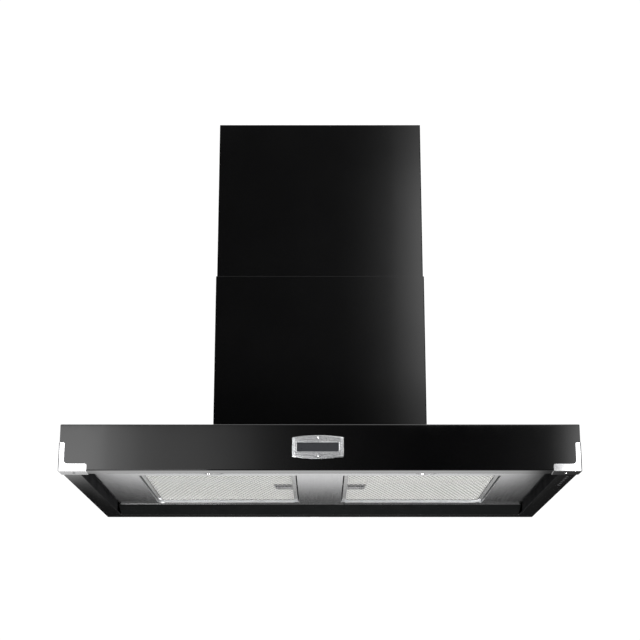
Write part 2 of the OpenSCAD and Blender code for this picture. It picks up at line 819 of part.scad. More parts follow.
// Ring on the motor with three arms out to the inlet's edge
module motor_bracket() {
    arm_w = 14;
    arm_end = inlet_r + 16;
    ring_w = 8;
    ring_t = 4;
    ring_x = -scroll_half - scroll_sheet - ring_t;
    color("#8f9295") at_blower() difference() {
        union() {
            x_cylinder(ring_x, ring_x + ring_t, motor_r + ring_w);
            for (a = [90, 210, 330]) rotate([a, 0, 0])
                block(ring_x, ring_x + ring_t, motor_r, arm_end, -arm_w / 2, arm_w / 2);
        }
        x_cylinder(ring_x - cut, ring_x + ring_t + cut, motor_r);
    }
}

module motor_shaft() color("#d9dadb") at_blower() x_cylinder(motor_x1 - 28, 18, shaft_r);

// Double-inlet impeller: centre disc and hub, two end rings and a cage of blades
module impeller() {
    blades = 30;
    blade_turn = 30;
    half = scroll_half - 8;
    depth = impeller_r - inlet_r;
    hub_x0 = -12;
    hub_x1 = 16;
    hub_r = 15;
    disc_half = 1;
    ring_t = 2;
    ring_w = 6;
    color("#54575a") at_blower() {
        difference() {
            union() {
                x_cylinder(-disc_half, disc_half, impeller_r);
                x_cylinder(hub_x0, hub_x1, hub_r);
            }
            x_cylinder(hub_x0 - cut, hub_x1 + cut, shaft_r);
        }
        for (x = [-half, half - ring_t]) difference() {
            x_cylinder(x, x + ring_t, impeller_r);
            x_cylinder(x - cut, x + ring_t + cut, impeller_r - ring_w);
        }
        for (i = [0:blades - 1]) rotate([i * 360 / blades, 0, 0])
            translate([0, impeller_r - depth / 2 - 0.6, 0]) rotate([blade_turn, 0, 0])
                cube([2 * half - 1, depth - 2, 1], center = true);
    }
}

// ---------- filters and latches ----------

module filter_frame_shape() {
    color("#c3c4c5") at_rim() difference() {
        union() {
            difference() {
                block(filter_x0, filter_x1, filter_y0, filter_y1, filter_z, filter_z + filter_t);
                block(filter_x0 + frame_bar, filter_x1 - frame_bar, filter_y0 + frame_bar,
                    filter_y1 - frame_bar, filter_z - cut, filter_z + filter_t + cut);
            }
            translate([hinge_x, 0, hinge_z]) {
                y_cylinder(filter_y0 - end_gap - bay_wall, filter_y0 + cut, hinge_pin_r);
                y_cylinder(filter_y1 - cut, filter_y1 + end_gap + bay_wall, hinge_pin_r);
            }
        }
        translate([0, latch_y, latch_bolt_z])
            x_cylinder(filter_x0 - cut, latch_x0 + cut, latch_bolt_r + run_gap);
    }
}

module filter_mesh_shape() {
    inset_z = 1;
    mesh_t = 3;
    color("#d2d2cf") at_rim() difference() {
        block(filter_x0 + frame_bar, filter_x1 - frame_bar, filter_y0 + frame_bar, filter_y1 - frame_bar,
            filter_z + inset_z, filter_z + inset_z + mesh_t);
        block(latch_x0 - cut, latch_x1, latch_y - latch_half_y, latch_y + latch_half_y,
            filter_z - cut, filter_z + filter_t + cut);
    }
}

// Tray that is open below, in which the slider and its spring sit
module latch_housing_shape() {
    color("#b4b6b8") at_rim() difference() {
        block(latch_x0, latch_x1, latch_y - latch_half_y, latch_y + latch_half_y,
            filter_z, filter_z + filter_t);
        block(latch_x0 + latch_wall, latch_x1 - latch_wall, latch_y - latch_half_y + latch_wall,
            latch_y + latch_half_y - latch_wall, filter_z - cut, filter_z + filter_t - latch_wall);
        translate([0, latch_y, latch_bolt_z])
            x_cylinder(latch_x0 - cut, latch_x0 + latch_wall + cut, latch_bolt_r + run_gap);
    }
}

slider_x0 = latch_x0 + latch_wall + 0.5;
slider_x1 = slider_x0 + 17;

// Bolt, sliding block and the finger tab that stands down from it
module latch_slider_shape() {
    block_half = 5;
    tab_t = 3;
    color("#9a9c9f") at_rim() {
        translate([0, latch_y, latch_bolt_z]) x_cylinder(bay_inner + 0.6, slider_x0 + cut, latch_bolt_r);
        block(slider_x0, slider_x1, latch_y - block_half, latch_y + block_half,
            filter_z + 2, filter_z + filter_t - latch_wall - 0.3);
        block(slider_x1 - tab_t, slider_x1, latch_y - block_half, latch_y + block_half,
            filter_z - 1.5, filter_z + 2);
    }
}

// Points of a square wire section that follows a helix along X
spring_r = 1.9;
spring_wire = 0.35;
spring_turns = 5;
spring_steps = 12;
function spring_ring(u, length) =
    let (a = u * spring_turns * 360, x = u * (length - 2 * spring_wire) + spring_wire)
        [for (c = [[-1, -1], [1, -1], [1, 1], [-1, 1]])
            [x + c[0] * spring_wire, (spring_r + c[1] * spring_wire) * cos(a),
                (spring_r + c[1] * spring_wire) * sin(a)]];

module coil_spring(length) {
    rings = spring_turns * spring_steps;
    skin([for (i = [0:rings]) spring_ring(i / rings, length)]);
}

module latch_spring_shape() {
    color("#d8d8d8") at_rim() translate([slider_x1, latch_y, latch_bolt_z])
        coil_spring(latch_x1 - latch_wall - slider_x1);
}

module filter_left_frame() mirror([1, 0, 0]) filter_frame_shape();
module filter_right_frame() filter_frame_shape();
module filter_left_mesh() mirror([1, 0, 0]) filter_mesh_shape();
module filter_right_mesh() filter_mesh_shape();
module latch_left_housing() mirror([1, 0, 0]) latch_housing_shape();
module latch_right_housing() latch_housing_shape();
module latch_left_slider() mirror([1, 0, 0]) latch_slider_shape();
module latch_right_slider() latch_slider_shape();
module latch_left_spring() mirror([1, 0, 0]) latch_spring_shape();
module latch_right_spring() latch_spring_shape();

// ---------- nodes ----------

ceiling_plate();
ceiling_uprights();
frame_fasteners();
upper_chimney_front();
upper_chimney_rear();
top_deck();
front_apron();
rear_apron();
left_side_panel();
right_side_panel();
liner_panel();
lamp_strip();
rear_baffle();
filter_bay();
corner_bracket_left();
corner_bracket_right();
cover_screws();
badge_plate();
badge_inset();
badge_rivets();
lamp_bezels();
lamp_lenses();
lamp_bodies();
switch_housing();
switch_board();
terminal_box();
cable_gland();
wiring_harness();
lamp_driver();
canopy_uprights();
lower_chimney_front();
lower_chimney_rear();
blower_side_left();
blower_side_right();
scroll_wall();
blower_feet();
outlet_collar();
damper_pin();
damper_flap_front();
damper_flap_rear();
motor();
motor_bracket();
motor_shaft();
impeller();
filter_left_frame();
filter_left_mesh();
latch_left_housing();
latch_left_slider();
latch_left_spring();
filter_right_frame();
filter_right_mesh();
latch_right_housing();
latch_right_slider();
latch_right_spring();
button(1);  // button_1
button(2);  // button_2
button(3);  // button_3
button(4);  // button_4
button(5);  // button_5
button(6);  // button_6
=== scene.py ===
import json
import math

import bmesh
import bpy
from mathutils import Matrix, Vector


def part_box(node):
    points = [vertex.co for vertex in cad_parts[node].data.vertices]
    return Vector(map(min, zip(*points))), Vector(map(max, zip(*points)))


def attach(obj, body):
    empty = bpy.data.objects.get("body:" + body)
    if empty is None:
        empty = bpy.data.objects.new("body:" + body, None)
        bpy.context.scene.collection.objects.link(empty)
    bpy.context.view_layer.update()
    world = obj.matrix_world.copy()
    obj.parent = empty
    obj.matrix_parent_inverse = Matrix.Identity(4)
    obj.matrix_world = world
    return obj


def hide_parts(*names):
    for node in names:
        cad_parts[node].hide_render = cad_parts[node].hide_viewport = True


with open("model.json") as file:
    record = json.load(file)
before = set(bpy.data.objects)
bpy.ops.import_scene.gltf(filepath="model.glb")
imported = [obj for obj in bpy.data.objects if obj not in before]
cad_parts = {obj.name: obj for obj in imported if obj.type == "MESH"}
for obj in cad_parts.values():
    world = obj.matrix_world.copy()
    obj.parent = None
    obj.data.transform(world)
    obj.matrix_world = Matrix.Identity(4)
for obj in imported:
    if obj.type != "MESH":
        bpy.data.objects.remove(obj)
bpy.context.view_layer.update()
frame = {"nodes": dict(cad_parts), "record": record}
nodes = frame["nodes"]
record = frame["record"]
slot_of = {part["node"]: part["material_slot"] for part in record["subparts"]}
body_of = {node: body for body, group in record["behaviour"]["bodies"].items() for node in group}
scene = bpy.context.scene

MM = 0.001
rim_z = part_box("left_side_panel")[0].z
front_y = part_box("front_apron")[0].y
half_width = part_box("front_apron")[1].x
camera_y, camera_z = front_y - 2.678, rim_z - 0.459


# ---------- camera ----------

def make_camera():
    data = bpy.data.cameras.new("camera")
    camera = bpy.data.objects.new("camera", data)
    scene.collection.objects.link(camera)
    camera.location = (0.0, camera_y, camera_z)
    camera.rotation_euler = (math.radians(90 + 14.76), 0.0, 0.0)
    data.lens = 79.68
    data.sensor_width = 36.0
    data.shift_y = 0.04
    data.dof.use_dof = False
    scene.camera = camera


# ---------- materials ----------

class Finish:
    """A principled material in the making, with short calls for its textures."""

    def __init__(self, name, color, metallic, roughness, **constants):
        self.material = bpy.data.materials.new(name)
        self.material.use_nodes = True
        self.tree = self.material.node_tree
        self.shader = self.tree.nodes["Principled BSDF"]
        self.normal = None
        self.put("Base Color", (*color, 1.0))
        self.put("Metallic", metallic)
        self.put("Roughness", roughness)
        for label, value in constants.items():
            self.put(label.replace("_", " "), value)

    def put(self, label, value):
        self.shader.inputs[label].default_value = value

    def node(self, kind, **settings):
        made = self.tree.nodes.new(kind)
        for key, value in settings.items():
            setattr(made, key, value)
        return made

    def link(self, source, target):
        self.tree.links.new(source, target)

    def place(self, stretch=(1.0, 1.0, 1.0)):
        coordinates = self.node("ShaderNodeTexCoord")
        mapping = self.node("ShaderNodeMapping")
        mapping.inputs["Scale"].default_value = stretch
        self.link(coordinates.outputs["Object"], mapping.inputs["Vector"])
        return mapping.outputs["Vector"]

    def noise(self, scale, detail=3.0, stretch=(1.0, 1.0, 1.0)):
        texture = self.node("ShaderNodeTexNoise")
        texture.inputs["Scale"].default_value = scale
        texture.inputs["Detail"].default_value = detail
        self.link(self.place(stretch), texture.inputs["Vector"])
        return texture.outputs["Fac"]

    def cells(self, scale, feature="F1", output="Distance"):
        texture = self.node("ShaderNodeTexVoronoi", feature=feature)
        texture.inputs["Scale"].default_value = scale
        self.link(self.place(), texture.inputs["Vector"])
        return texture.outputs[output]

    def bands(self, scale, direction):
        texture = self.node("ShaderNodeTexWave", wave_type="BANDS", bands_direction=direction)
        texture.inputs["Scale"].default_value = scale
        self.link(self.place(), texture.inputs["Vector"])
        return texture.outputs["Fac"]

    def span(self, value, low, high, from_low=0.3, from_high=0.7):
        mapped = self.node("ShaderNodeMapRange", clamp=True)
        mapped.inputs["From Min"].default_value = from_low
        mapped.inputs["From Max"].default_value = from_high
        mapped.inputs["To Min"].default_value = low
        mapped.inputs["To Max"].default_value = high
        self.link(value, mapped.inputs["Value"])
        return mapped.outputs["Result"]

    def tint(self, value, first, second, from_low=0.3, from_high=0.7):
        mix = self.node("ShaderNodeMix", data_type="RGBA")
        mix.inputs["A"].default_value = (*first, 1.0)
        mix.inputs["B"].default_value = (*second, 1.0)
        self.link(self.span(value, 0.0, 1.0, from_low, from_high), mix.inputs["Factor"])
        self.link(mix.outputs["Result"], self.shader.inputs["Base Color"])
        return self

    def sheen_of(self, value, low, high, from_low=0.3, from_high=0.7):
        """Roughness that varies over the surface between low and high."""
        self.link(self.span(value, low, high, from_low, from_high), self.shader.inputs["Roughness"])
        return self

    def worn(self, color, radius_mm=0.8, amount=0.6, breakup=120):
        """Blends the colour towards a worn one along edges, in patches."""
        rounded = self.node("ShaderNodeBevel", samples=4)
        rounded.inputs["Radius"].default_value = radius_mm * MM
        surface = self.node("ShaderNodeNewGeometry")
        match = self.node("ShaderNodeVectorMath", operation="DOT_PRODUCT")
        self.link(rounded.outputs["Normal"], match.inputs[0])
        self.link(surface.outputs["Normal"], match.inputs[1])
        edge = self.span(match.outputs["Value"], amount, 0.0, 0.82, 0.985)
        patches = self.span(self.noise(breakup, 4), 0.15, 1.0, 0.4, 0.62)
        mask = self.node("ShaderNodeMath", operation="MULTIPLY")
        self.link(edge, mask.inputs[0])
        self.link(patches, mask.inputs[1])
        mix = self.node("ShaderNodeMix", data_type="RGBA")
        socket = self.shader.inputs["Base Color"]
        if socket.links:
            self.link(socket.links[0].from_socket, mix.inputs["A"])
        else:
            mix.inputs["A"].default_value = socket.default_value
        mix.inputs["B"].default_value = (*color, 1.0)
        self.link(mask.outputs["Value"], mix.inputs["Factor"])
        self.link(mix.outputs["Result"], socket)
        return self

    def bump(self, value, depth_mm, strength=1.0):
        relief = self.node("ShaderNodeBump")
        relief.inputs["Strength"].default_value = strength
        relief.inputs["Distance"].default_value = depth_mm * MM
        self.link(value, relief.inputs["Height"])
        if self.normal is not None:
            self.link(self.normal, relief.inputs["Normal"])
        self.normal = relief.outputs["Normal"]
        self.link(self.normal, self.shader.inputs["Normal"])
        return self


def make_finishes():
    made = {}

    def finish(slot, *args, **constants):
        made[slot] = Finish(slot, *args, **constants)
        return made[slot]

    f = finish("gloss_black", (0.0008, 0.0008, 0.0009), 0.0, 0.07)
    f.tint(f.noise(14, 5), (0.0006, 0.0006, 0.0007), (0.0011, 0.0011, 0.0012))
    f.sheen_of(f.noise(30, 6), 0.03, 0.05)
    f.bump(f.noise(420, 2), 0.0035, 0.5).bump(f.noise(9, 2), 0.12, 0.35)
    f.worn((0.012, 0.012, 0.012), 0.7, 0.7, 90)

    f = finish("black_baffle", (0.004, 0.004, 0.0045), 0.0, 0.36, Specular_IOR_Level=0.012)
    f.tint(f.noise(20, 5), (0.0022, 0.0026, 0.0027), (0.0038, 0.0042, 0.0044))
    f.sheen_of(f.noise(60, 5), 0.26, 0.34)
    f.bump(f.noise(1500, 3), 0.02, 0.4).worn((0.02, 0.02, 0.02))

    f = finish("inner_coat", (0.012, 0.012, 0.0125), 0.0, 0.7, Specular_IOR_Level=0.0)
    f.tint(f.noise(40, 5), (0.008, 0.008, 0.0085), (0.016, 0.016, 0.0165))
    f.sheen_of(f.noise(60, 5), 0.6, 0.75).bump(f.noise(900, 3), 0.02, 0.4).worn((0.03, 0.03, 0.03))

    f = finish("brushed_steel", (0.60, 0.60, 0.61), 1.0, 0.12)
    grain = f.noise(90, 6, stretch=(9.0, 0.12, 1.0))
    f.tint(grain, (0.57, 0.57, 0.58), (0.64, 0.64, 0.65))
    f.sheen_of(f.noise(60, 5, stretch=(12.0, 0.2, 1.0)), 0.075, 0.115)
    f.bump(grain, 0.003, 0.25).worn((0.72, 0.72, 0.72))

    f = finish("galvanised", (0.5, 0.51, 0.52), 1.0, 0.4)
    spangle = f.cells(150, output="Color")
    f.tint(spangle, (0.53, 0.54, 0.55), (0.60, 0.61, 0.62), 0.1, 0.9)
    f.sheen_of(spangle, 0.38, 0.46, 0.1, 0.9)
    f.bump(f.noise(300, 3), 0.01, 0.3).worn((0.7, 0.7, 0.7))

    f = finish("collar_steel", (0.56, 0.57, 0.58), 1.0, 0.32)
    rolled = f.noise(80, 5, stretch=(0.4, 0.4, 10.0))
    f.tint(rolled, (0.50, 0.51, 0.52), (0.62, 0.63, 0.64))
    f.sheen_of(rolled, 0.26, 0.40).bump(rolled, 0.01, 0.3).worn((0.72, 0.72, 0.72))

    f = finish("zinc_fastener", (0.66, 0.66, 0.67), 1.0, 0.28)
    f.tint(f.noise(400, 4), (0.60, 0.60, 0.58), (0.72, 0.72, 0.74))
    f.sheen_of(f.noise(900, 3), 0.2, 0.36).bump(f.noise(2500, 2), 0.01, 0.3)
    f.worn((0.84, 0.84, 0.83), 0.4)

    f = finish("chrome", (0.84, 0.84, 0.85), 1.0, 0.08)
    f.tint(f.noise(60, 4), (0.82, 0.82, 0.83), (0.87, 0.87, 0.88))
    f.sheen_of(f.noise(260, 5), 0.05, 0.12).bump(f.noise(150, 2), 0.004, 0.3)
    f.worn((0.62, 0.60, 0.55), 0.5, 0.5)

    f = finish("badge_metal", (0.86, 0.87, 0.88), 1.0, 0.25)
    brushing = f.noise(260, 5, stretch=(0.12, 1.0, 14.0))
    f.tint(brushing, (0.80, 0.81, 0.83), (0.93, 0.94, 0.95))
    f.sheen_of(brushing, 0.22, 0.30).bump(brushing, 0.003, 0.3).worn((0.95, 0.95, 0.95), 0.4)

    f = finish("badge_dark", (0.02, 0.021, 0.024), 0.4, 0.3)
    ribs = f.bands(420, "X")
    f.tint(ribs, (0.012, 0.013, 0.016), (0.036, 0.038, 0.044), 0.2, 0.8)
    f.sheen_of(f.noise(300, 4), 0.26, 0.4).bump(ribs, 0.05, 0.4).worn((0.05, 0.05, 0.055), 0.4)

    f = finish("lamp_chrome", (0.78, 0.78, 0.79), 1.0, 0.14)
    f.tint(f.noise(120, 4), (0.74, 0.74, 0.75), (0.82, 0.82, 0.83))
    f.sheen_of(f.noise(400, 4), 0.10, 0.2).bump(f.noise(600, 2), 0.004, 0.3).worn((0.9, 0.9, 0.9), 0.4)

    f = finish("lamp_glass", (0.93, 0.93, 0.9), 0.0, 0.35, Transmission_Weight=0.35)
    f.tint(f.noise(700, 3), (0.88, 0.88, 0.85), (0.97, 0.97, 0.94))
    f.sheen_of(f.noise(1200, 3), 0.28, 0.45).bump(f.noise(1800, 3), 0.03, 0.5)

    f = finish("lamp_heatsink", (0.42, 0.42, 0.43), 1.0, 0.5)
    f.tint(f.noise(500, 5), (0.36, 0.36, 0.37), (0.48, 0.48, 0.49))
    f.sheen_of(f.noise(900, 4), 0.42, 0.6).bump(f.noise(1400, 4), 0.06, 0.6).worn((0.66, 0.66, 0.66))

    f = finish("black_plastic", (0.018, 0.018, 0.019), 0.0, 0.5)
    f.tint(f.noise(80, 4), (0.014, 0.014, 0.015), (0.024, 0.024, 0.025))
    f.sheen_of(f.noise(500, 3), 0.42, 0.58).bump(f.cells(1400), 0.03, 0.5).worn((0.06, 0.06, 0.06))

    f = finish("board", (0.02, 0.13, 0.06), 0.0, 0.35)
    tracks = f.cells(260, "DISTANCE_TO_EDGE")
    f.tint(tracks, (0.05, 0.24, 0.11), (0.014, 0.10, 0.045), 0.03, 0.08)
    f.sheen_of(f.noise(300, 3), 0.3, 0.42).bump(tracks, 0.03, 0.5).worn((0.4, 0.38, 0.28), 0.4)

    f = finish("wire", (0.022, 0.022, 0.024), 0.0, 0.42)
    f.tint(f.noise(200, 4), (0.016, 0.016, 0.018), (0.03, 0.03, 0.032))
    f.sheen_of(f.noise(400, 3), 0.36, 0.5).bump(f.noise(900, 3), 0.05, 0.4)

    f = finish("white_plastic", (0.62, 0.62, 0.6), 0.0, 0.42)
    f.tint(f.noise(60, 4), (0.58, 0.58, 0.55), (0.66, 0.66, 0.64))
    f.sheen_of(f.noise(500, 3), 0.36, 0.5).bump(f.cells(1200), 0.02, 0.4).worn((0.74, 0.74, 0.7))

    f = finish("motor_metal", (0.24, 0.25, 0.26), 1.0, 0.45)
    f.tint(f.noise(300, 5), (0.20, 0.21, 0.22), (0.30, 0.31, 0.32))
    f.sheen_of(f.noise(700, 4), 0.38, 0.56).bump(f.noise(1200, 4), 0.06, 0.5).worn((0.55, 0.55, 0.55))

    f = finish("shaft_steel", (0.62, 0.62, 0.63), 1.0, 0.18)
    turned = f.noise(500, 4, stretch=(8.0, 0.2, 0.2))
    f.tint(turned, (0.56, 0.56, 0.57), (0.68, 0.68, 0.69))
    f.sheen_of(turned, 0.14, 0.26).bump(turned, 0.005, 0.3).worn((0.8, 0.8, 0.8), 0.4)

    f = finish("impeller_metal", (0.36, 0.37, 0.38), 1.0, 0.42)
    blade = f.noise(200, 5, stretch=(0.3, 3.0, 3.0))
    f.tint(blade, (0.30, 0.31, 0.32), (0.44, 0.45, 0.46))
    f.sheen_of(blade, 0.34, 0.5).bump(blade, 0.02, 0.4).worn((0.62, 0.62, 0.62))

    f = finish("filter_frame", (0.64, 0.64, 0.635), 1.0, 0.16)
    drawn = f.noise(220, 5, stretch=(0.5, 0.5, 8.0))
    f.tint(drawn, (0.60, 0.60, 0.595), (0.70, 0.70, 0.69))
    f.sheen_of(f.noise(400, 4), 0.13, 0.22).bump(drawn, 0.006, 0.3).worn((0.84, 0.84, 0.82), 0.6)

    # Painted shade: a dark, dull metal that stands for the shade on the filter frames' inner side walls.
    f = finish("painted_shade_metal", (0.10, 0.10, 0.10), 0.6, 0.5)
    f.tint(f.noise(220, 5), (0.07, 0.07, 0.07), (0.13, 0.13, 0.13))
    f.sheen_of(f.noise(400, 4), 0.45, 0.6).bump(f.noise(900, 3), 0.02, 0.4).worn((0.3, 0.3, 0.3), 0.4)

    f = finish("filter_mesh", (0.90, 0.90, 0.88), 0.4, 0.3)
    f.tint(f.noise(500, 4), (0.87, 0.87, 0.85), (0.95, 0.95, 0.93))
    f.sheen_of(f.noise(900, 3), 0.24, 0.38).bump(f.noise(2200, 3), 0.03, 0.4)

    f = finish("filter_foil", (0.40, 0.40, 0.38), 0.5, 0.4)
    f.tint(f.noise(300, 4), (0.32, 0.32, 0.30), (0.46, 0.46, 0.44))
    f.sheen_of(f.noise(900, 3), 0.34, 0.5).bump(f.cells(900), 0.08, 0.5)

    f = finish("latch_metal", (0.50, 0.50, 0.50), 1.0, 0.22)
    f.tint(f.noise(300, 4), (0.45, 0.45, 0.45), (0.55, 0.55, 0.55))
    f.sheen_of(f.noise(600, 4), 0.16, 0.3).bump(f.noise(900, 3), 0.01, 0.3).worn((0.82, 0.82, 0.82), 0.5)

    f = finish("spring_steel", (0.55, 0.55, 0.56), 1.0, 0.24)
    f.tint(f.noise(900, 3), (0.48, 0.48, 0.5), (0.62, 0.62, 0.62))
    f.sheen_of(f.noise(1500, 3), 0.18, 0.32).bump(f.noise(3000, 2), 0.01, 0.3)

    f = finish("button_grey", (0.022, 0.022, 0.023), 0.0, 0.46, Specular_IOR_Level=0.3)
    f.tint(f.noise(600, 4), (0.018, 0.018, 0.019), (0.028, 0.028, 0.029))
    f.sheen_of(f.noise(900, 3), 0.40, 0.54).bump(f.cells(2500), 0.01, 0.3).worn((0.12, 0.12, 0.12), 0.3)

    f = finish("grip_grey", (0.26, 0.26, 0.26), 0.3, 0.4)
    f.tint(f.noise(300, 4), (0.22, 0.22, 0.22), (0.30, 0.30, 0.30))
    f.sheen_of(f.noise(700, 3), 0.34, 0.48).bump(f.cells(1600), 0.02, 0.4).worn((0.3, 0.3, 0.3), 0.4)
    return made


# ---------- pieces ----------

def add_piece(name, mesh, node, finish_name=None):
    """Puts a mesh in the scene on a CAD node's body, with the finish of the node's slot or the one named."""
    piece = bpy.data.objects.new(name, mesh)
    scene.collection.objects.link(piece)
    mesh.materials.clear()
    mesh.materials.append(finishes[finish_name or slot_of[node]].material)
    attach(piece, body_of[node])
    return piece


def clean_copy(node):
    """A CAD node's mesh in a bmesh, with its triangles merged into whole faces."""
    bm = bmesh.new()
    bm.from_mesh(nodes[node].data)
    bmesh.ops.remove_doubles(bm, verts=bm.verts, dist=0.002 * MM)
    bmesh.ops.dissolve_limit(bm, angle_limit=math.radians(0.3), verts=bm.verts, edges=bm.edges)
    return bm


def bare_mesh(name, bm):
    """A mesh with nothing but the bmesh's shape, so that no CAD normals stay on it."""
    bm.verts.index_update()
    points = [v.co.copy() for v in bm.verts]
    faces = [[v.index for v in f.verts] for f in bm.faces]
    bm.free()
    mesh = bpy.data.meshes.new(name)
    mesh.from_pydata(points, [], faces)
    mesh.shade_smooth()
    return mesh


def level_normals(piece):
    level = piece.modifiers.new("level", "WEIGHTED_NORMAL")
    level.keep_sharp = True
    level.weight = 100


def refined(node, width_mm, segments=2, bends=None, bend_mm=2.0):
    """A CAD node with rounded edges, which stands for it. Edges that bends() picks get a sheet-metal bend."""
    bm = clean_copy(node)
    if bends:
        picked = [e for e in bm.edges if bends(*(v.co for v in e.verts))]
        bmesh.ops.bevel(bm, geom=picked, offset=bend_mm * MM, segments=5, profile=0.5, affect="EDGES")
    piece = add_piece(node + "_refined", bare_mesh(node + "_refined", bm), node)
    bevel = piece.modifiers.new("bevel", "BEVEL")
    bevel.width = width_mm * MM
    bevel.segments = segments
    bevel.limit_method = "ANGLE"
    bevel.angle_limit = math.radians(35)
    level_normals(piece)
    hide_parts(node)
    return piece


def second_finish(piece, finish_name, picks):
    """Gives the faces that picks() chooses another finish."""
    piece.data.materials.append(finishes[finish_name].material)
    for face in piece.data.polygons:
        if picks(face):
            face.material_index = 1


def refine_sheet_parts():
    # How wide the softened edges are, in millimetres.
    soft = {"front_apron": 0.3, "rear_apron": 0.3, "left_side_panel": 0.3, "right_side_panel": 0.3,
            "lower_chimney_front": 0.3, "lower_chimney_rear": 0.3,
            "upper_chimney_front": 0.3, "upper_chimney_rear": 0.3,
            "filter_left_frame": 0.8, "filter_right_frame": 0.8,
            "latch_left_housing": 0.6, "latch_right_housing": 0.6,
            "latch_left_slider": 0.5, "latch_right_slider": 0.5}
    for node, width in soft.items():
        piece = refined(node, width, 3)
        if "side_panel" in node:
            # The lip's inner wall and the soft edges have the thin satin coat of the panel's inside.
            second_finish(piece, "inner_coat", lambda face: (abs(face.normal.x) > 0.1
                                                             and abs(face.center.x) < half_width - 30 * MM))
            piece.modifiers["bevel"].material = 1
        if node.startswith("filter"):
            # Painted shade: the inner walls along the sides get a dark, dull metal that stands for the shade
            # the foil casts on them.
            lo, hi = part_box(node)
            middle = (lo.x + hi.x) / 2
            second_finish(piece, "painted_shade_metal", lambda face: (abs(face.normal.x) > 0.5
                                                            and (face.center.x - middle) * face.normal.x < 0))
    for side in ("left", "right"):
        node = "corner_bracket_" + side
        lo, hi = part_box(node)
        outer = lo.x if side == "left" else hi.x
        touch = 0.05 * MM  # an edge this near the bracket's outer front corner lies on it

        def on_corner(a, b):
            at_side = abs(a.x - outer) < touch and abs(b.x - outer) < touch
            at_front = abs(a.y - lo.y) < touch and abs(b.y - lo.y) < touch
            return at_side and at_front

        refined(node, 0.25, bends=on_corner, bend_mm=2.3)


def lathe(name, node, profile, centres, axis="Z", steps=48, of=None):
    """Turned parts at one or more centres. The profile is (radius, height) in metres, open or closed.

    They stand for the CAD node, or only belong to the node that `of` names."""
    bm = bmesh.new()
    for centre in centres:
        rings = []
        for radius, height in profile:
            if radius == 0.0:
                rings.append([bm.verts.new((centre[0], centre[1], height))])
                continue
            ring = []
            for i in range(steps):
                turn = 2 * math.pi * i / steps
                ring.append(bm.verts.new((centre[0] + radius * math.cos(turn),
                                          centre[1] + radius * math.sin(turn), height)))
            rings.append(ring)
        for first, second in zip(rings, rings[1:]):
            for i in range(steps):
                j = (i + 1) % steps
                if len(first) == 1:
                    bm.faces.new((first[0], second[j], second[i]))
                elif len(second) == 1:
                    bm.faces.new((first[i], first[j], second[0]))
                else:
                    bm.faces.new((first[i], first[j], second[j], second[i]))
    bmesh.ops.recalc_face_normals(bm, faces=bm.faces)
    if axis == "-Y":
        # The profile was turned about Z at (x, z) centres: its height becomes the place along Y.
        for v in bm.verts:
            v.co = Vector((v.co.x, v.co.z, v.co.y))
        bmesh.ops.reverse_faces(bm, faces=bm.faces)
        bmesh.ops.recalc_face_normals(bm, faces=bm.faces)
    mesh = bare_mesh(name, bm)
    piece = add_piece(name, mesh, of or node)
    if node:
        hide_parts(node)
    return piece


def arc_profile(centre_r, centre_z, radius, start, end, steps):
    """Points of a circular arc in a turned profile, with angles in degrees."""
    points = []
    for i in range(steps + 1):
        turn = math.radians(start + (end - start) * i / steps)
        points.append((centre_r + radius * math.cos(turn), centre_z + radius * math.sin(turn)))
    return points


def make_lamps():
    lo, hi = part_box("lamp_bezels")
    outer = (hi.y - lo.y) / 2
    y = (hi.y + lo.y) / 2
    centres = [(-(hi.x - outer), y), (hi.x - outer, y)]
    lens_lo, lens_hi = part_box("lamp_lenses")
    lens_r = (lens_hi.y - lens_lo.y) / 2
    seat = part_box("liner_panel")[0].z
    wall = 2 * MM
    inner = lens_r + 0.2 * MM
    inner_round, outer_round = 0.8 * MM, 1.3 * MM
    profile = [(inner, hi.z), (inner, seat - 0.4 * MM)]
    profile += arc_profile(inner + inner_round, lo.z + inner_round, inner_round, 180, 270, 5)
    profile += arc_profile(outer - outer_round, lo.z + outer_round, outer_round, 270, 360, 6)
    profile += [(outer, seat), (inner + wall, seat), (inner + wall, hi.z), (inner, hi.z)]
    bezels = lathe("lamp_bezels_turned", "lamp_bezels", profile, centres, steps=72)
    level_normals(bezels)

    rings = 26
    dome, ridge = 0.85 * MM, 0.16 * MM
    profile = [(0.0, lens_lo.z)]
    for i in range(1, rings + 1):
        part = i / rings
        profile.append((lens_r * part, lens_lo.z + dome * part * part + ridge * (i % 2)))
    profile += [(lens_r, lens_hi.z), (0.0, lens_hi.z)]
    lathe("lamp_lenses_ridged", "lamp_lenses", profile, centres, steps=72)


def make_buttons():
    for number in range(1, 7):
        node = "button_%d" % number
        lo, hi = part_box(node)
        centre = ((lo.x + hi.x) / 2, (lo.y + hi.y) / 2)
        radius, rounding, dish = 3.0 * MM, 0.7 * MM, 0.22 * MM
        flange = (hi.x - lo.x) / 2
        sheet_top = lo.z + 2.4 * MM
        flange_top = sheet_top + 1.2 * MM
        profile = [(0.0, lo.z + dish), (radius * 0.45, lo.z + 0.16 * MM), (radius * 0.58, lo.z)]
        profile += arc_profile(radius - rounding, lo.z + rounding, rounding, 275, 360, 5)
        profile += [(radius, sheet_top), (flange, sheet_top), (flange, flange_top),
                    (radius - MM, flange_top), (radius - MM, hi.z), (0.0, hi.z)]
        level_normals(lathe(node + "_cap", node, profile, [centre], steps=32))


def strand_points(x, sway, lift, y0, y1, pitch):
    """A wavy strand along Y: knuckles where it touches its neighbours, and slopes between them."""
    count = max(2, round((y1 - y0) / (pitch / 2)))
    step = (y1 - y0) / count
    points = []
    for i in range(count + 1):
        side = 1 if i % 2 else -1
        for offset in (-0.14, 0.14):
            y = min(max(y0 + (i + offset) * step, y0), y1)
            points.append((Vector((x + side * sway, y, side * lift)), 0.0))
        if i < count:
            points.append((Vector((x, y0 + (i + 0.5) * step, 0.0)), -side))
    return points


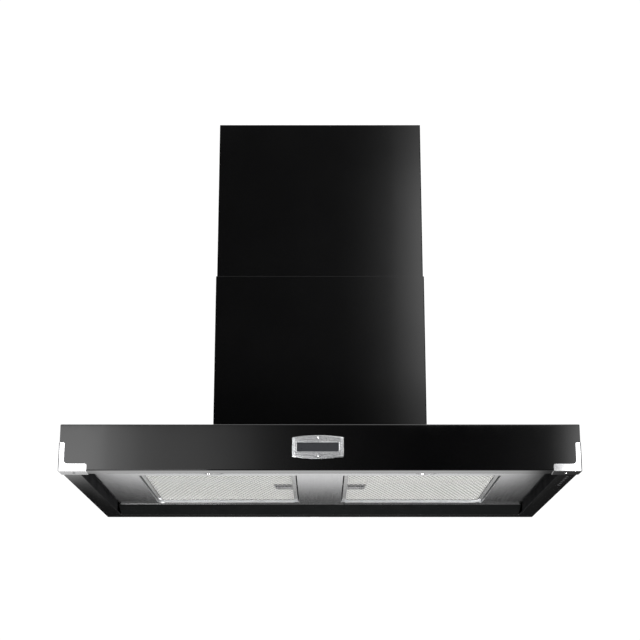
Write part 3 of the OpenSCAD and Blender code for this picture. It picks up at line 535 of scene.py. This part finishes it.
def add_ribbon(bm, points, z, width, thickness, lean):
    """A flat strand of rectangular section through points, leaning one way and the other between knuckles."""
    rings = []
    for place, turn in points:
        angle = lean * turn
        across = Vector((math.cos(angle), 0.0, math.sin(angle))) * (width / 2)
        through = Vector((-math.sin(angle), 0.0, math.cos(angle))) * (thickness / 2)
        base = Vector((place.x, place.y, z + place.z))
        corners = (base - across - through, base + across - through, base + across + through,
                   base - across + through)
        rings.append([bm.verts.new(c) for c in corners])
    for first, second in zip(rings, rings[1:]):
        for i in range(4):
            j = (i + 1) % 4
            bm.faces.new((first[i], first[j], second[j], second[i]))
    bm.faces.new(rings[0][::-1])
    bm.faces.new(rings[-1])


def make_filter(side):
    node = "filter_%s_mesh" % side
    lo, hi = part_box(node)
    latch_lo, latch_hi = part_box("latch_%s_housing" % side)
    room = 0.8 * MM

    def at_latch(x, y):
        return (latch_lo.x - room < x < latch_hi.x + room
                and latch_lo.y - room < y < latch_hi.y + room)

    pitch_x, pitch_y = 9.4 * MM, 28.0 * MM
    strand_z, strand_width, strand_thickness, lean = lo.z + 0.95 * MM, 1.5 * MM, 0.6 * MM, 0.5
    edge_x, edge_y = 0.9 * MM, 0.3 * MM
    bm = bmesh.new()
    count = round((hi.x - lo.x - 2 * MM) / (pitch_x / 2))
    step = (hi.x - lo.x - 2 * MM) / count
    for k in range(count + 1):
        x = lo.x + MM + k * step
        swing = (1 if k % 2 else -1) * (pitch_x / 4 - 0.35 * MM)
        runs = [[]]
        for place, turn in strand_points(x, swing, swing * 0.16, lo.y + edge_y, hi.y - edge_y, pitch_y):
            hidden = at_latch(place.x, place.y)
            place.x = min(max(place.x, lo.x + edge_x), hi.x - edge_x)
            if hidden:
                runs.append([])
            else:
                runs[-1].append((place, turn * (1 if swing > 0 else -1)))
        for run in runs:
            if len(run) > 1:
                add_ribbon(bm, run, strand_z, strand_width, strand_thickness, lean)
    mesh = bpy.data.meshes.new(node)
    bm.to_mesh(mesh)
    bm.free()
    lattice = add_piece("filter_%s_expanded_mesh" % side, mesh, node)
    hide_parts(node)

    # The layers of foil behind it: a closely folded sheet with a herringbone of small waves.
    bm = bmesh.new()
    columns, rows = 132, 150
    skin, wave_depth, fold_depth = 0.15, 0.55, 0.3
    grid = []
    for i in range(columns + 1):
        line = []
        for j in range(rows + 1):
            x = lo.x + (hi.x - lo.x) * i / columns
            y = lo.y + (hi.y - lo.y) * j / rows
            wave = abs((i * 0.5 + 0.25 * abs((j % 8) - 4)) % 2 - 1)
            fold = abs((j * 0.5) % 2 - 1)
            line.append(bm.verts.new((x, y, hi.z - (skin + wave_depth * wave + fold_depth * fold) * MM)))
        grid.append(line)
    for i in range(columns):
        for j in range(rows):
            centre = (grid[i][j].co + grid[i + 1][j + 1].co) / 2
            if not at_latch(centre.x, centre.y):
                bm.faces.new((grid[i][j], grid[i][j + 1], grid[i + 1][j + 1], grid[i + 1][j]))
    bmesh.ops.delete(bm, geom=[v for v in bm.verts if not v.link_faces], context="VERTS")
    mesh = bpy.data.meshes.new(node + "_foil")
    bm.to_mesh(mesh)
    bm.free()
    foil = add_piece("filter_%s_foil_layers" % side, mesh, node, "filter_foil")
    sheet = foil.modifiers.new("sheet", "SOLIDIFY")
    sheet.thickness = 0.12 * MM
    sheet.offset = 0.0


def close_prism(bm, ends):
    """Joins two equal outlines with walls and closes both ends."""
    count = len(ends[0])
    for i in range(count):
        j = (i + 1) % count
        bm.faces.new((ends[0][i], ends[0][j], ends[1][j], ends[1][i]))
    bm.faces.new(ends[0][::-1])
    bm.faces.new(ends[1])
    bmesh.ops.recalc_face_normals(bm, faces=bm.faces)


def make_latch_grip(side):
    """Ribbed strip in front of the latch housing, and the pull plate with its stud behind it."""
    housing = "latch_%s_housing" % side
    lo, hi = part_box(housing)
    mesh_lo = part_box("filter_%s_mesh" % side)[0]
    frame_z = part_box("filter_%s_frame" % side)[0].z
    bottom, top = frame_z + 0.15 * MM, mesh_lo.z + 0.25 * MM
    gap, strip_depth, plate_depth = 0.6 * MM, 5 * MM, 36 * MM
    ribs = 9
    pitch = (hi.x - lo.x) / ribs
    rib_shape = ((0.12, 0.35), (0.24, 0.9), (0.42, 1.0), (0.60, 1.0), (0.78, 0.9), (0.9, 0.35))
    outline = [(lo.x, top)]
    for i in range(ribs):
        x = lo.x + i * pitch
        outline += [(x + part * pitch, top + (bottom - top) * depth) for part, depth in rib_shape]
    outline.append((hi.x, top))
    bm = bmesh.new()
    close_prism(bm, [[bm.verts.new((x, y, z)) for x, z in outline] for y in (lo.y - strip_depth, lo.y - gap)])
    mesh = bpy.data.meshes.new("grip")
    bm.to_mesh(mesh)
    bm.free()
    add_piece("latch_%s_grip" % side, mesh, housing, "grip_grey")

    # The plate is round at its outer end, where the stud sits.
    outward = -1 if side == "left" else 1
    inner_x = hi.x if side == "left" else lo.x
    length = hi.x - lo.x
    y0, y1 = hi.y + gap, hi.y + plate_depth
    corner = 9 * MM
    plan = [(inner_x, y0)]
    for cy, start in ((y0 + corner, 270), (y1 - corner, 0)):
        for px, py in arc_profile(length - corner, cy, corner, start, start + 90, 6):
            plan.append((inner_x + outward * px, py))
    plan.append((inner_x, y1))
    bm = bmesh.new()
    close_prism(bm, [[bm.verts.new((x, y, z)) for x, y in plan] for z in (bottom, top)])
    plate = add_piece("latch_%s_pull" % side, bare_mesh("pull", bm), housing)
    soft = plate.modifiers.new("soft", "BEVEL")
    soft.width = 0.4 * MM
    soft.segments = 2
    level_normals(plate)

    radius, dome = 3.6 * MM, 1.2 * MM
    stud = [(0.0, bottom - dome)]
    stud += [(radius * math.sin(math.radians(a)), bottom - dome * math.cos(math.radians(a)))
             for a in range(12, 97, 12)]
    stud += [(radius, top), (0.0, top)]
    place = (inner_x + outward * (length - corner), (y0 + y1) / 2)
    lathe("latch_%s_stud" % side, None, stud, [place], steps=24, of=housing)


def sweep_x(name, node, profile, x0, x1):
    """A folded edge that runs along X, with its (y, z) profile closed."""
    bm = bmesh.new()
    close_prism(bm, [[bm.verts.new((x, y, z)) for y, z in profile] for x in (x0, x1)])
    piece = add_piece(name, bare_mesh(name, bm), node)
    piece.data.set_sharp_from_angle(angle=math.radians(30))
    return piece


def make_liner_folds():
    """The steel's folded edges: a wide one at the front, behind the lip, and a narrow one at the rear."""
    front_width, rear_width = 22 * MM, 11 * MM
    strip_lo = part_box("lamp_strip")[0]
    panel_lo, panel_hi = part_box("liner_panel")
    x0, x1 = panel_lo.x + 0.3 * MM, panel_hi.x - 0.3 * MM
    y0, y1, z = strip_lo.y, strip_lo.y + front_width, panel_lo.z
    sweep_x("liner_front_fold", "lamp_strip",
            [(y0, z + 0.1 * MM), (y0, z - 0.05 * MM), (y0 + MM, z - 0.1 * MM), (y1 - MM, z - 0.5 * MM),
             (y1, z - 0.3 * MM), (y1, z + 0.1 * MM)], x0, x1)
    y1 = panel_hi.y - 0.4 * MM
    y0 = y1 - rear_width
    sweep_x("liner_rear_fold", "liner_panel",
            [(y0, z + 0.1 * MM), (y0, z - 0.05 * MM), (y0 + MM, z - 0.1 * MM), (y1 - 4 * MM, z - 0.1 * MM),
             (y1 - MM, z - 0.16 * MM), (y1, z - 0.1 * MM), (y1, z + 0.1 * MM)], x0, x1)


def smooth_step(value):
    value = min(max(value, 0.0), 1.0)
    return value * value * (3 - 2 * value)


def make_badge():
    lo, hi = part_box("badge_plate")
    inset_lo, inset_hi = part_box("badge_inset")
    centre = (lo + hi) / 2
    half_w, half_h = (hi.x - lo.x) / 2, (hi.z - lo.z) / 2
    end_h = half_h - 4 * MM
    inset_w, inset_h = (inset_hi.x - inset_lo.x) / 2, (inset_hi.z - inset_lo.z) / 2
    ramp, end_slope = 6 * MM, 0.06
    dome_depth, roll_depth, side_depth = 0.6 * MM, 0.1 * MM, 0.08 * MM

    def upper_edge(x):
        part = x / half_w
        return end_h + (half_h - end_h) * (1 - part * part)

    def face_y(x, z):
        """Front of the plate: slightly domed, with flat slanted ends and a softly rolled rim."""
        dome = dome_depth * (x / half_w) ** 2
        past = abs(x) - (half_w - ramp)
        slant = end_slope * max(0.0, past) * smooth_step(past / MM)
        edge = upper_edge(x) - abs(z)
        roll = roll_depth * (1 - smooth_step(edge / (0.6 * MM)))
        side = side_depth * (1 - smooth_step((half_w - abs(x)) / (0.4 * MM)))
        return lo.y + dome + slant + roll + side

    even = {round(half_w * t / 40, 7) for t in range(-40, 41)}
    at_ends = {round(s * (half_w - ramp * p), 7) for s in (-1, 1) for p in (0.02, 0.06, 0.12, 0.9, 1.0, 1.1)}
    xs = sorted(even | at_ends)
    upper = [0.2, 0.4, 0.6, 0.8, 0.9, 0.975, 0.985, 0.993, 1.0]
    rows = [-part for part in upper[::-1]] + [0.0] + upper
    bm = bmesh.new()
    grid = []
    for x in xs:
        line = []
        for part in rows:
            z = part * upper_edge(x)
            line.append(bm.verts.new((centre.x + x, face_y(x, z), centre.z + z)))
        grid.append(line)
    for a, b in zip(grid, grid[1:]):
        for j in range(len(rows) - 1):
            bm.faces.new((a[j], b[j], b[j + 1], a[j + 1]))
    # The sides and the back are made in a fixed order, so that the mesh is the same in every run.
    rim = [line[0] for line in grid] + grid[-1][1:] + [line[-1] for line in grid[-2::-1]] + grid[0][-2:0:-1]
    back = [bm.verts.new((v.co.x, hi.y, v.co.z)) for v in rim]
    for i in range(len(rim)):
        j = (i + 1) % len(rim)
        bm.faces.new((rim[i], rim[j], back[j], back[i]))
    bm.faces.new(back[::-1])
    bmesh.ops.recalc_face_normals(bm, faces=bm.faces)
    mesh = bare_mesh("badge", bm)
    plate = add_piece("badge_plate_domed", mesh, "badge_plate")
    plate.data.set_sharp_from_angle(angle=math.radians(40))
    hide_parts("badge_plate")

    # A raised frame round the inset, whose inner slope catches the light, and the panel inside it.
    proud = lo.y - 0.42 * MM
    floor_y = lo.y - 0.14 * MM

    def loop(grow, y, radius, grow_z=None):
        """A rounded rectangle round the inset, larger than it by grow on each side."""
        points = []
        w, h = inset_w + grow, inset_h + (grow if grow_z is None else grow_z)
        for cx, cz, start in ((w - radius, h - radius, 0), (-w + radius, h - radius, 90),
                              (-w + radius, -h + radius, 180), (w - radius, -h + radius, 270)):
            points += [(centre.x + px, y, centre.z + pz)
                       for px, pz in arc_profile(cx, cz, radius, start, start + 90, 4)]
        return points

    bm = bmesh.new()
    loops = [loop(1.1 * MM, lo.y + 0.9 * MM, 1.6 * MM), loop(0.95 * MM, lo.y - 0.2 * MM, 1.5 * MM),
             loop(0.75 * MM, proud, 1.3 * MM), loop(0.55 * MM, proud, 1.1 * MM, 0.1 * MM),
             loop(-1.1 * MM, floor_y, 0.3 * MM, -0.1 * MM),
             loop(-1.1 * MM, lo.y + 0.9 * MM, 0.3 * MM, -0.1 * MM)]
    rings = [[bm.verts.new(p) for p in points] for points in loops]
    for first, second in zip(rings, rings[1:] + rings[:1]):
        for i in range(len(first)):
            j = (i + 1) % len(first)
            bm.faces.new((first[i], first[j], second[j], second[i]))
    bmesh.ops.recalc_face_normals(bm, faces=bm.faces)
    border = add_piece("badge_inset_border", bare_mesh("border", bm), "badge_plate")
    border.data.set_sharp_from_angle(angle=math.radians(8))

    bm = bmesh.new()
    ribs = 74
    width, height = 2 * (inset_w - 0.9 * MM), inset_h - 0.05 * MM
    panel_y, rib_height, back_y = lo.y - 0.13 * MM, 0.06 * MM, lo.y + 0.35 * MM
    outline = []
    for i in range(ribs * 4 + 1):
        x = -width / 2 + width * i / (ribs * 4)
        outline.append((centre.x + x, panel_y - rib_height * (i % 4 in (1, 2))))
    front = [[bm.verts.new((x, y, centre.z + z)) for x, y in outline] for z in (-height, height)]
    back = [[bm.verts.new((outline[i][0], back_y, centre.z + z)) for i in (0, -1)]
            for z in (-height, height)]
    for i in range(len(outline) - 1):
        bm.faces.new((front[0][i], front[0][i + 1], front[1][i + 1], front[1][i]))
    bm.faces.new((back[0][0], back[1][0], back[1][1], back[0][1]))
    bm.faces.new((front[0][0], front[1][0], back[1][0], back[0][0]))
    bm.faces.new((front[0][-1], back[0][1], back[1][1], front[1][-1]))
    bm.faces.new([*front[0][::-1], back[0][0], back[0][1]])
    bm.faces.new([*front[1], back[1][1], back[1][0]])
    bmesh.ops.recalc_face_normals(bm, faces=bm.faces)
    mesh = bpy.data.meshes.new("inset")
    bm.to_mesh(mesh)
    bm.free()
    inset = add_piece("badge_inset_ribbed", mesh, "badge_inset")
    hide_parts("badge_inset")

    rivet_lo, rivet_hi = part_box("badge_rivets")
    head_r = (rivet_hi.x - rivet_lo.x) / 2
    head_z = [rivet_hi.z - head_r, rivet_lo.z + head_r]
    height = lo.y - rivet_lo.y
    profile = [(0.0, rivet_lo.y)]
    for i in range(1, 9):
        turn = math.radians(90 * i / 8)
        profile.append((head_r * math.sin(turn), lo.y - height * math.cos(turn)))
    profile += [(head_r, lo.y + 0.3 * MM), (head_r * 0.4, lo.y + 0.3 * MM), (head_r * 0.4, rivet_hi.y),
                (0.0, rivet_hi.y)]
    rivets = lathe("badge_rivets_domed", "badge_rivets", profile, [(centre.x, z) for z in head_z], "-Y", 32)
    rivets.data.set_sharp_from_angle(angle=math.radians(40))


def assign_finishes():
    for name, node in nodes.items():
        for slot in node.material_slots:
            slot.material = finishes[slot_of[name]].material
        if not node.material_slots:
            node.data.materials.append(finishes[slot_of[name]].material)


# ---------- studio ----------

def math_node(tree, operation, first, second):
    """A maths node, whose two inputs are numbers or other nodes' outputs."""
    made = tree.nodes.new("ShaderNodeMath")
    made.operation = operation
    for socket, value in zip(made.inputs, (first, second)):
        if isinstance(value, float):
            socket.default_value = value
        else:
            tree.links.new(value, socket)
    return made.outputs["Value"]


def profile_node(tree, source, stops):
    """A soft brightness profile along one of a card's sides, as [place, brightness] stops."""
    curve = tree.nodes.new("ShaderNodeFloatCurve")
    points = curve.mapping.curves[0].points
    while len(points) < len(stops):
        points.new(0.5, 0.5)
    for point, (place, level) in zip(points, stops):
        point.location = (place, level)
    curve.mapping.update()
    tree.links.new(source, curve.inputs["Value"])
    return curve.outputs["Value"]


def card(name, centre, width, height, turn, strength, across, up, droop=None):
    """A one-sided glowing card of the studio. It glows along its own +Z and fades by its two profiles.

    droop is a profile along X of how far, in parts of the height, the upward profile moves down."""
    mesh = bpy.data.meshes.new(name)
    w, h = width / 2, height / 2
    mesh.from_pydata([(-w, -h, 0), (w, -h, 0), (w, h, 0), (-w, h, 0)], [], [(0, 1, 2, 3)])
    made = bpy.data.objects.new(name, mesh)
    scene.collection.objects.link(made)
    made.location = centre
    made.rotation_euler = turn
    material = bpy.data.materials.new(name)
    material.use_nodes = True
    tree = material.node_tree
    tree.nodes.clear()
    place = tree.nodes.new("ShaderNodeTexCoord")
    split = tree.nodes.new("ShaderNodeSeparateXYZ")
    tree.links.new(place.outputs["Generated"], split.inputs["Vector"])
    side = tree.nodes.new("ShaderNodeNewGeometry")
    out = tree.nodes.new("ShaderNodeOutputMaterial")
    glow = tree.nodes.new("ShaderNodeEmission")
    height_in = split.outputs["Y"]
    if droop:
        height_in = math_node(tree, "ADD", height_in, profile_node(tree, split.outputs["X"], droop))
    across_fade = profile_node(tree, split.outputs["X"], across)
    up_fade = profile_node(tree, height_in, up)
    total = math_node(tree, "SUBTRACT", 1.0, side.outputs["Backfacing"])
    for factor in (strength, across_fade, up_fade):
        total = math_node(tree, "MULTIPLY", total, factor)
    tree.links.new(total, glow.inputs["Strength"])
    clear = tree.nodes.new("ShaderNodeBsdfTransparent")
    both = tree.nodes.new("ShaderNodeAddShader")
    tree.links.new(glow.outputs["Emission"], both.inputs[0])
    tree.links.new(clear.outputs["BSDF"], both.inputs[1])
    tree.links.new(both.outputs["Shader"], out.inputs["Surface"])
    mesh.materials.append(material)
    made.visible_camera = False
    made.visible_shadow = False


def spread(low, high, stops):
    """Turns profile stops given at places between low and high into places from 0 to 1."""
    return [((place - low) / (high - low), level) for place, level in stops]


def make_front_cards():
    """Soft light in front of the hood, which the enamel's front faces mirror."""
    y = front_y - 2.875
    upright = (math.radians(-90), 0.0, 0.0)
    # A card turned to face +Y has its own +Y downwards and its +X to the right.
    # The apron mirrors the low strip, and the chimney mirrors the tall box above it.
    low, high = -1.3, 1.3
    top, bottom = rim_z + 0.684, rim_z + 0.30
    across = [(-1.3, 0.7), (-0.98, 1.0), (-0.84, 0.70), (-0.76, 0.52), (-0.64, 0.35), (-0.48, 0.29),
              (-0.32, 0.185), (-0.16, 0.068), (0.0, 0.030), (0.16, 0.014), (0.64, 0.008), (0.80, 0.030),
              (0.88, 0.05), (0.94, 0.145), (1.0, 0.46), (1.12, 0.8), (1.3, 0.7)]
    card("low_strip", (0.0, y, (top + bottom) / 2), high - low, top - bottom, upright, 3.5,
         spread(low, high, across), [(0.0, 1.0), (0.7, 1.0), (1.0, 0.2)])
    low, high = -0.6, 1.2
    box_height = 1.9
    across = [(-0.6, 0.024), (-0.09, 0.032), (0.13, 0.055), (0.26, 0.155), (0.346, 0.39), (0.411, 0.67),
              (0.437, 0.8), (0.55, 1.0), (1.0, 0.8), (1.2, 0.0)]
    card("high_box", ((low + high) / 2, y, top + box_height / 2), high - low, box_height, upright, 2.6,
         spread(low, high, across),
         [(0.0, 0.05), (0.3, 0.55), (0.56, 1.0), (0.8, 0.81), (0.955, 0.42), (1.0, 0.36)])


def make_under_card():
    """Glows towards the hood from behind and below. The steel liner mirrors its soft upper edge."""
    y = 1.5
    low, high = -1.1, 1.1
    top, height = -0.10, 0.36
    levels = [(-0.12, 0.0), (-0.160, 0.0), (-0.1734, 0.01), (-0.1811, 0.03), (-0.1964, 0.07),
              (-0.2118, 0.16), (-0.2271, 0.33), (-0.2424, 0.56), (-0.2653, 0.80), (-0.2883, 0.88),
              (-0.33, 0.90), (-0.44, 1.0)]
    profile = [((z - (top - height)) / height, level) for z, level in levels[::-1]]
    across = [(-1.1, 0.6), (-0.9, 0.95), (-0.75, 1.0), (-0.62, 1.0), (0.5, 0.97), (0.62, 0.86),
              (0.69, 0.45), (0.75, 0.08), (0.8, 0.03), (1.1, 0.0)]
    # The edge is level in the middle and falls towards both sides.
    fall = [(0.0, 0.0), (0.5, 0.006), (0.59, 0.018), (0.65, 0.029), (0.70, 0.046), (0.75, 0.066),
            (0.8, 0.064), (1.1, 0.064)]
    droop = [(-place, drop / height) for place, drop in fall[:0:-1]]
    droop += [(place, drop / height) for place, drop in fall]
    card("under_edge", (0.0, y, rim_z + top - height / 2), high - low, height,
         (math.radians(90), 0.0, 0.0), 1.0, spread(low, high, across), profile, spread(low, high, droop))


def soft_card(name, centre, width, height, turn, strength):
    fade = [(0.0, 0.0), (0.25, 0.5), (0.5, 1.0), (0.75, 0.5), (1.0, 0.0)]
    card(name, centre, width, height, turn, strength, fade, fade)


def area(name, place, turn, width, height, power):
    """A soft light that the camera doesn't see."""
    data = bpy.data.lights.new(name, "AREA")
    data.shape = "RECTANGLE"
    data.size, data.size_y = width, height
    data.energy = power
    light = bpy.data.objects.new(name, data)
    scene.collection.objects.link(light)
    light.location = place
    light.rotation_euler = turn
    light.visible_camera = False


def make_world():
    """White to the camera. To everything else it is dark round the horizon, and soft above and below."""
    world = bpy.data.worlds.new("studio")
    scene.world = world
    world.use_nodes = True
    tree = world.node_tree
    tree.nodes.clear()

    def ramp(source, start, end, level):
        mapped = tree.nodes.new("ShaderNodeMapRange")
        mapped.interpolation_type = "SMOOTHSTEP"
        mapped.inputs["From Min"].default_value = start
        mapped.inputs["From Max"].default_value = end
        mapped.inputs["To Min"].default_value = 0.0
        mapped.inputs["To Max"].default_value = level
        tree.links.new(source, mapped.inputs["Value"])
        return mapped.outputs["Result"]

    place = tree.nodes.new("ShaderNodeTexCoord")
    split = tree.nodes.new("ShaderNodeSeparateXYZ")
    tree.links.new(place.outputs["Generated"], split.inputs["Vector"])
    overhead = ramp(split.outputs["Z"], 0.33, 0.75, 0.75)
    below = ramp(math_node(tree, "MULTIPLY", split.outputs["Z"], -1.0), 0.24, 0.6, 0.2)
    strength = math_node(tree, "ADD", math_node(tree, "ADD", 0.02, overhead), below)
    out = tree.nodes.new("ShaderNodeOutputWorld")
    white = tree.nodes.new("ShaderNodeBackground")
    white.inputs["Color"].default_value = (1.0, 1.0, 1.0, 1.0)
    white.inputs["Strength"].default_value = 1.05
    soft = tree.nodes.new("ShaderNodeBackground")
    soft.inputs["Color"].default_value = (1.0, 1.0, 1.0, 1.0)
    tree.links.new(strength, soft.inputs["Strength"])
    path = tree.nodes.new("ShaderNodeLightPath")
    mix = tree.nodes.new("ShaderNodeMixShader")
    tree.links.new(path.outputs["Is Camera Ray"], mix.inputs["Fac"])
    tree.links.new(soft.outputs["Background"], mix.inputs[1])
    tree.links.new(white.outputs["Background"], mix.inputs[2])
    tree.links.new(mix.outputs["Shader"], out.inputs["Surface"])


def make_floor():
    mesh = bpy.data.meshes.new("floor")
    bm = bmesh.new()
    bmesh.ops.create_circle(bm, cap_ends=True, segments=96, radius=40.0)
    bm.to_mesh(mesh)
    bm.free()
    floor = bpy.data.objects.new("floor", mesh)
    scene.collection.objects.link(floor)
    floor.location = (0.0, 0.0, rim_z - 2.8)
    ground = Finish("floor", (0.86, 0.86, 0.85), 0.0, 0.8)
    ground.tint(ground.noise(2.0, 4), (0.85, 0.85, 0.84), (0.88, 0.88, 0.87))
    ground.put("Emission Color", (1.0, 1.0, 1.0, 1.0))
    ground.put("Emission Strength", 0.42)
    mesh.materials.append(ground.material)
    floor.visible_glossy = False


def make_studio():
    make_front_cards()
    make_under_card()
    side = math.radians(90)
    soft_card("left_card", (-3.7, -0.25, -1.0), 2.6, 1.5, (side, 0.0, side), 1.3)
    soft_card("right_card", (3.7, -0.25, -1.0), 2.6, 1.5, (side, 0.0, -side), 1.3)
    soft_card("back_card", (0.5, 3.6, -0.1), 2.6, 1.8, (side, 0.0, 0.0), 1.4)
    # Seen from the corners, the enamel mirrors the next four. Seen from below, the steel mirrors the low one.
    corner = 3.3
    for x, y, turn in ((1, 1, -45), (-1, 1, 45), (1, -1, -135), (-1, -1, 135)):
        place = (x * corner, y * corner, -1.5)
        soft_card("corner_card", place, 2.4, 2.2, (side, 0.0, math.radians(turn)), 1.1)
    soft_card("low_card", (0.0, 2.1, rim_z - 1.3), 3.0, 1.0, (math.radians(55), 0.0, 0.0), 0.5)
    area("front_left", (-0.95, front_y - 2.9, rim_z - 0.45), (side, 0, 0), 1.0, 0.9, 20)
    area("front_right", (1.15, front_y - 1.3, rim_z - 0.95), (math.radians(122), 0, math.radians(33)),
         0.7, 0.5, 47)
    area("overhead", (0.2, -0.6, 2.2), (math.radians(10), 0, 0), 2.6, 2.2, 50)
    area("back", (-0.6, 3.4, 0.6), (-side, 0, 0), 2.6, 1.6, 30)
    make_world()
    make_floor()
    scene.view_settings.view_transform = "Standard"


make_camera()
finishes = make_finishes()
assign_finishes()
refine_sheet_parts()
make_lamps()
make_buttons()
make_badge()
make_liner_folds()
for filter_side in ("left", "right"):
    make_filter(filter_side)
    make_latch_grip(filter_side)
make_studio()
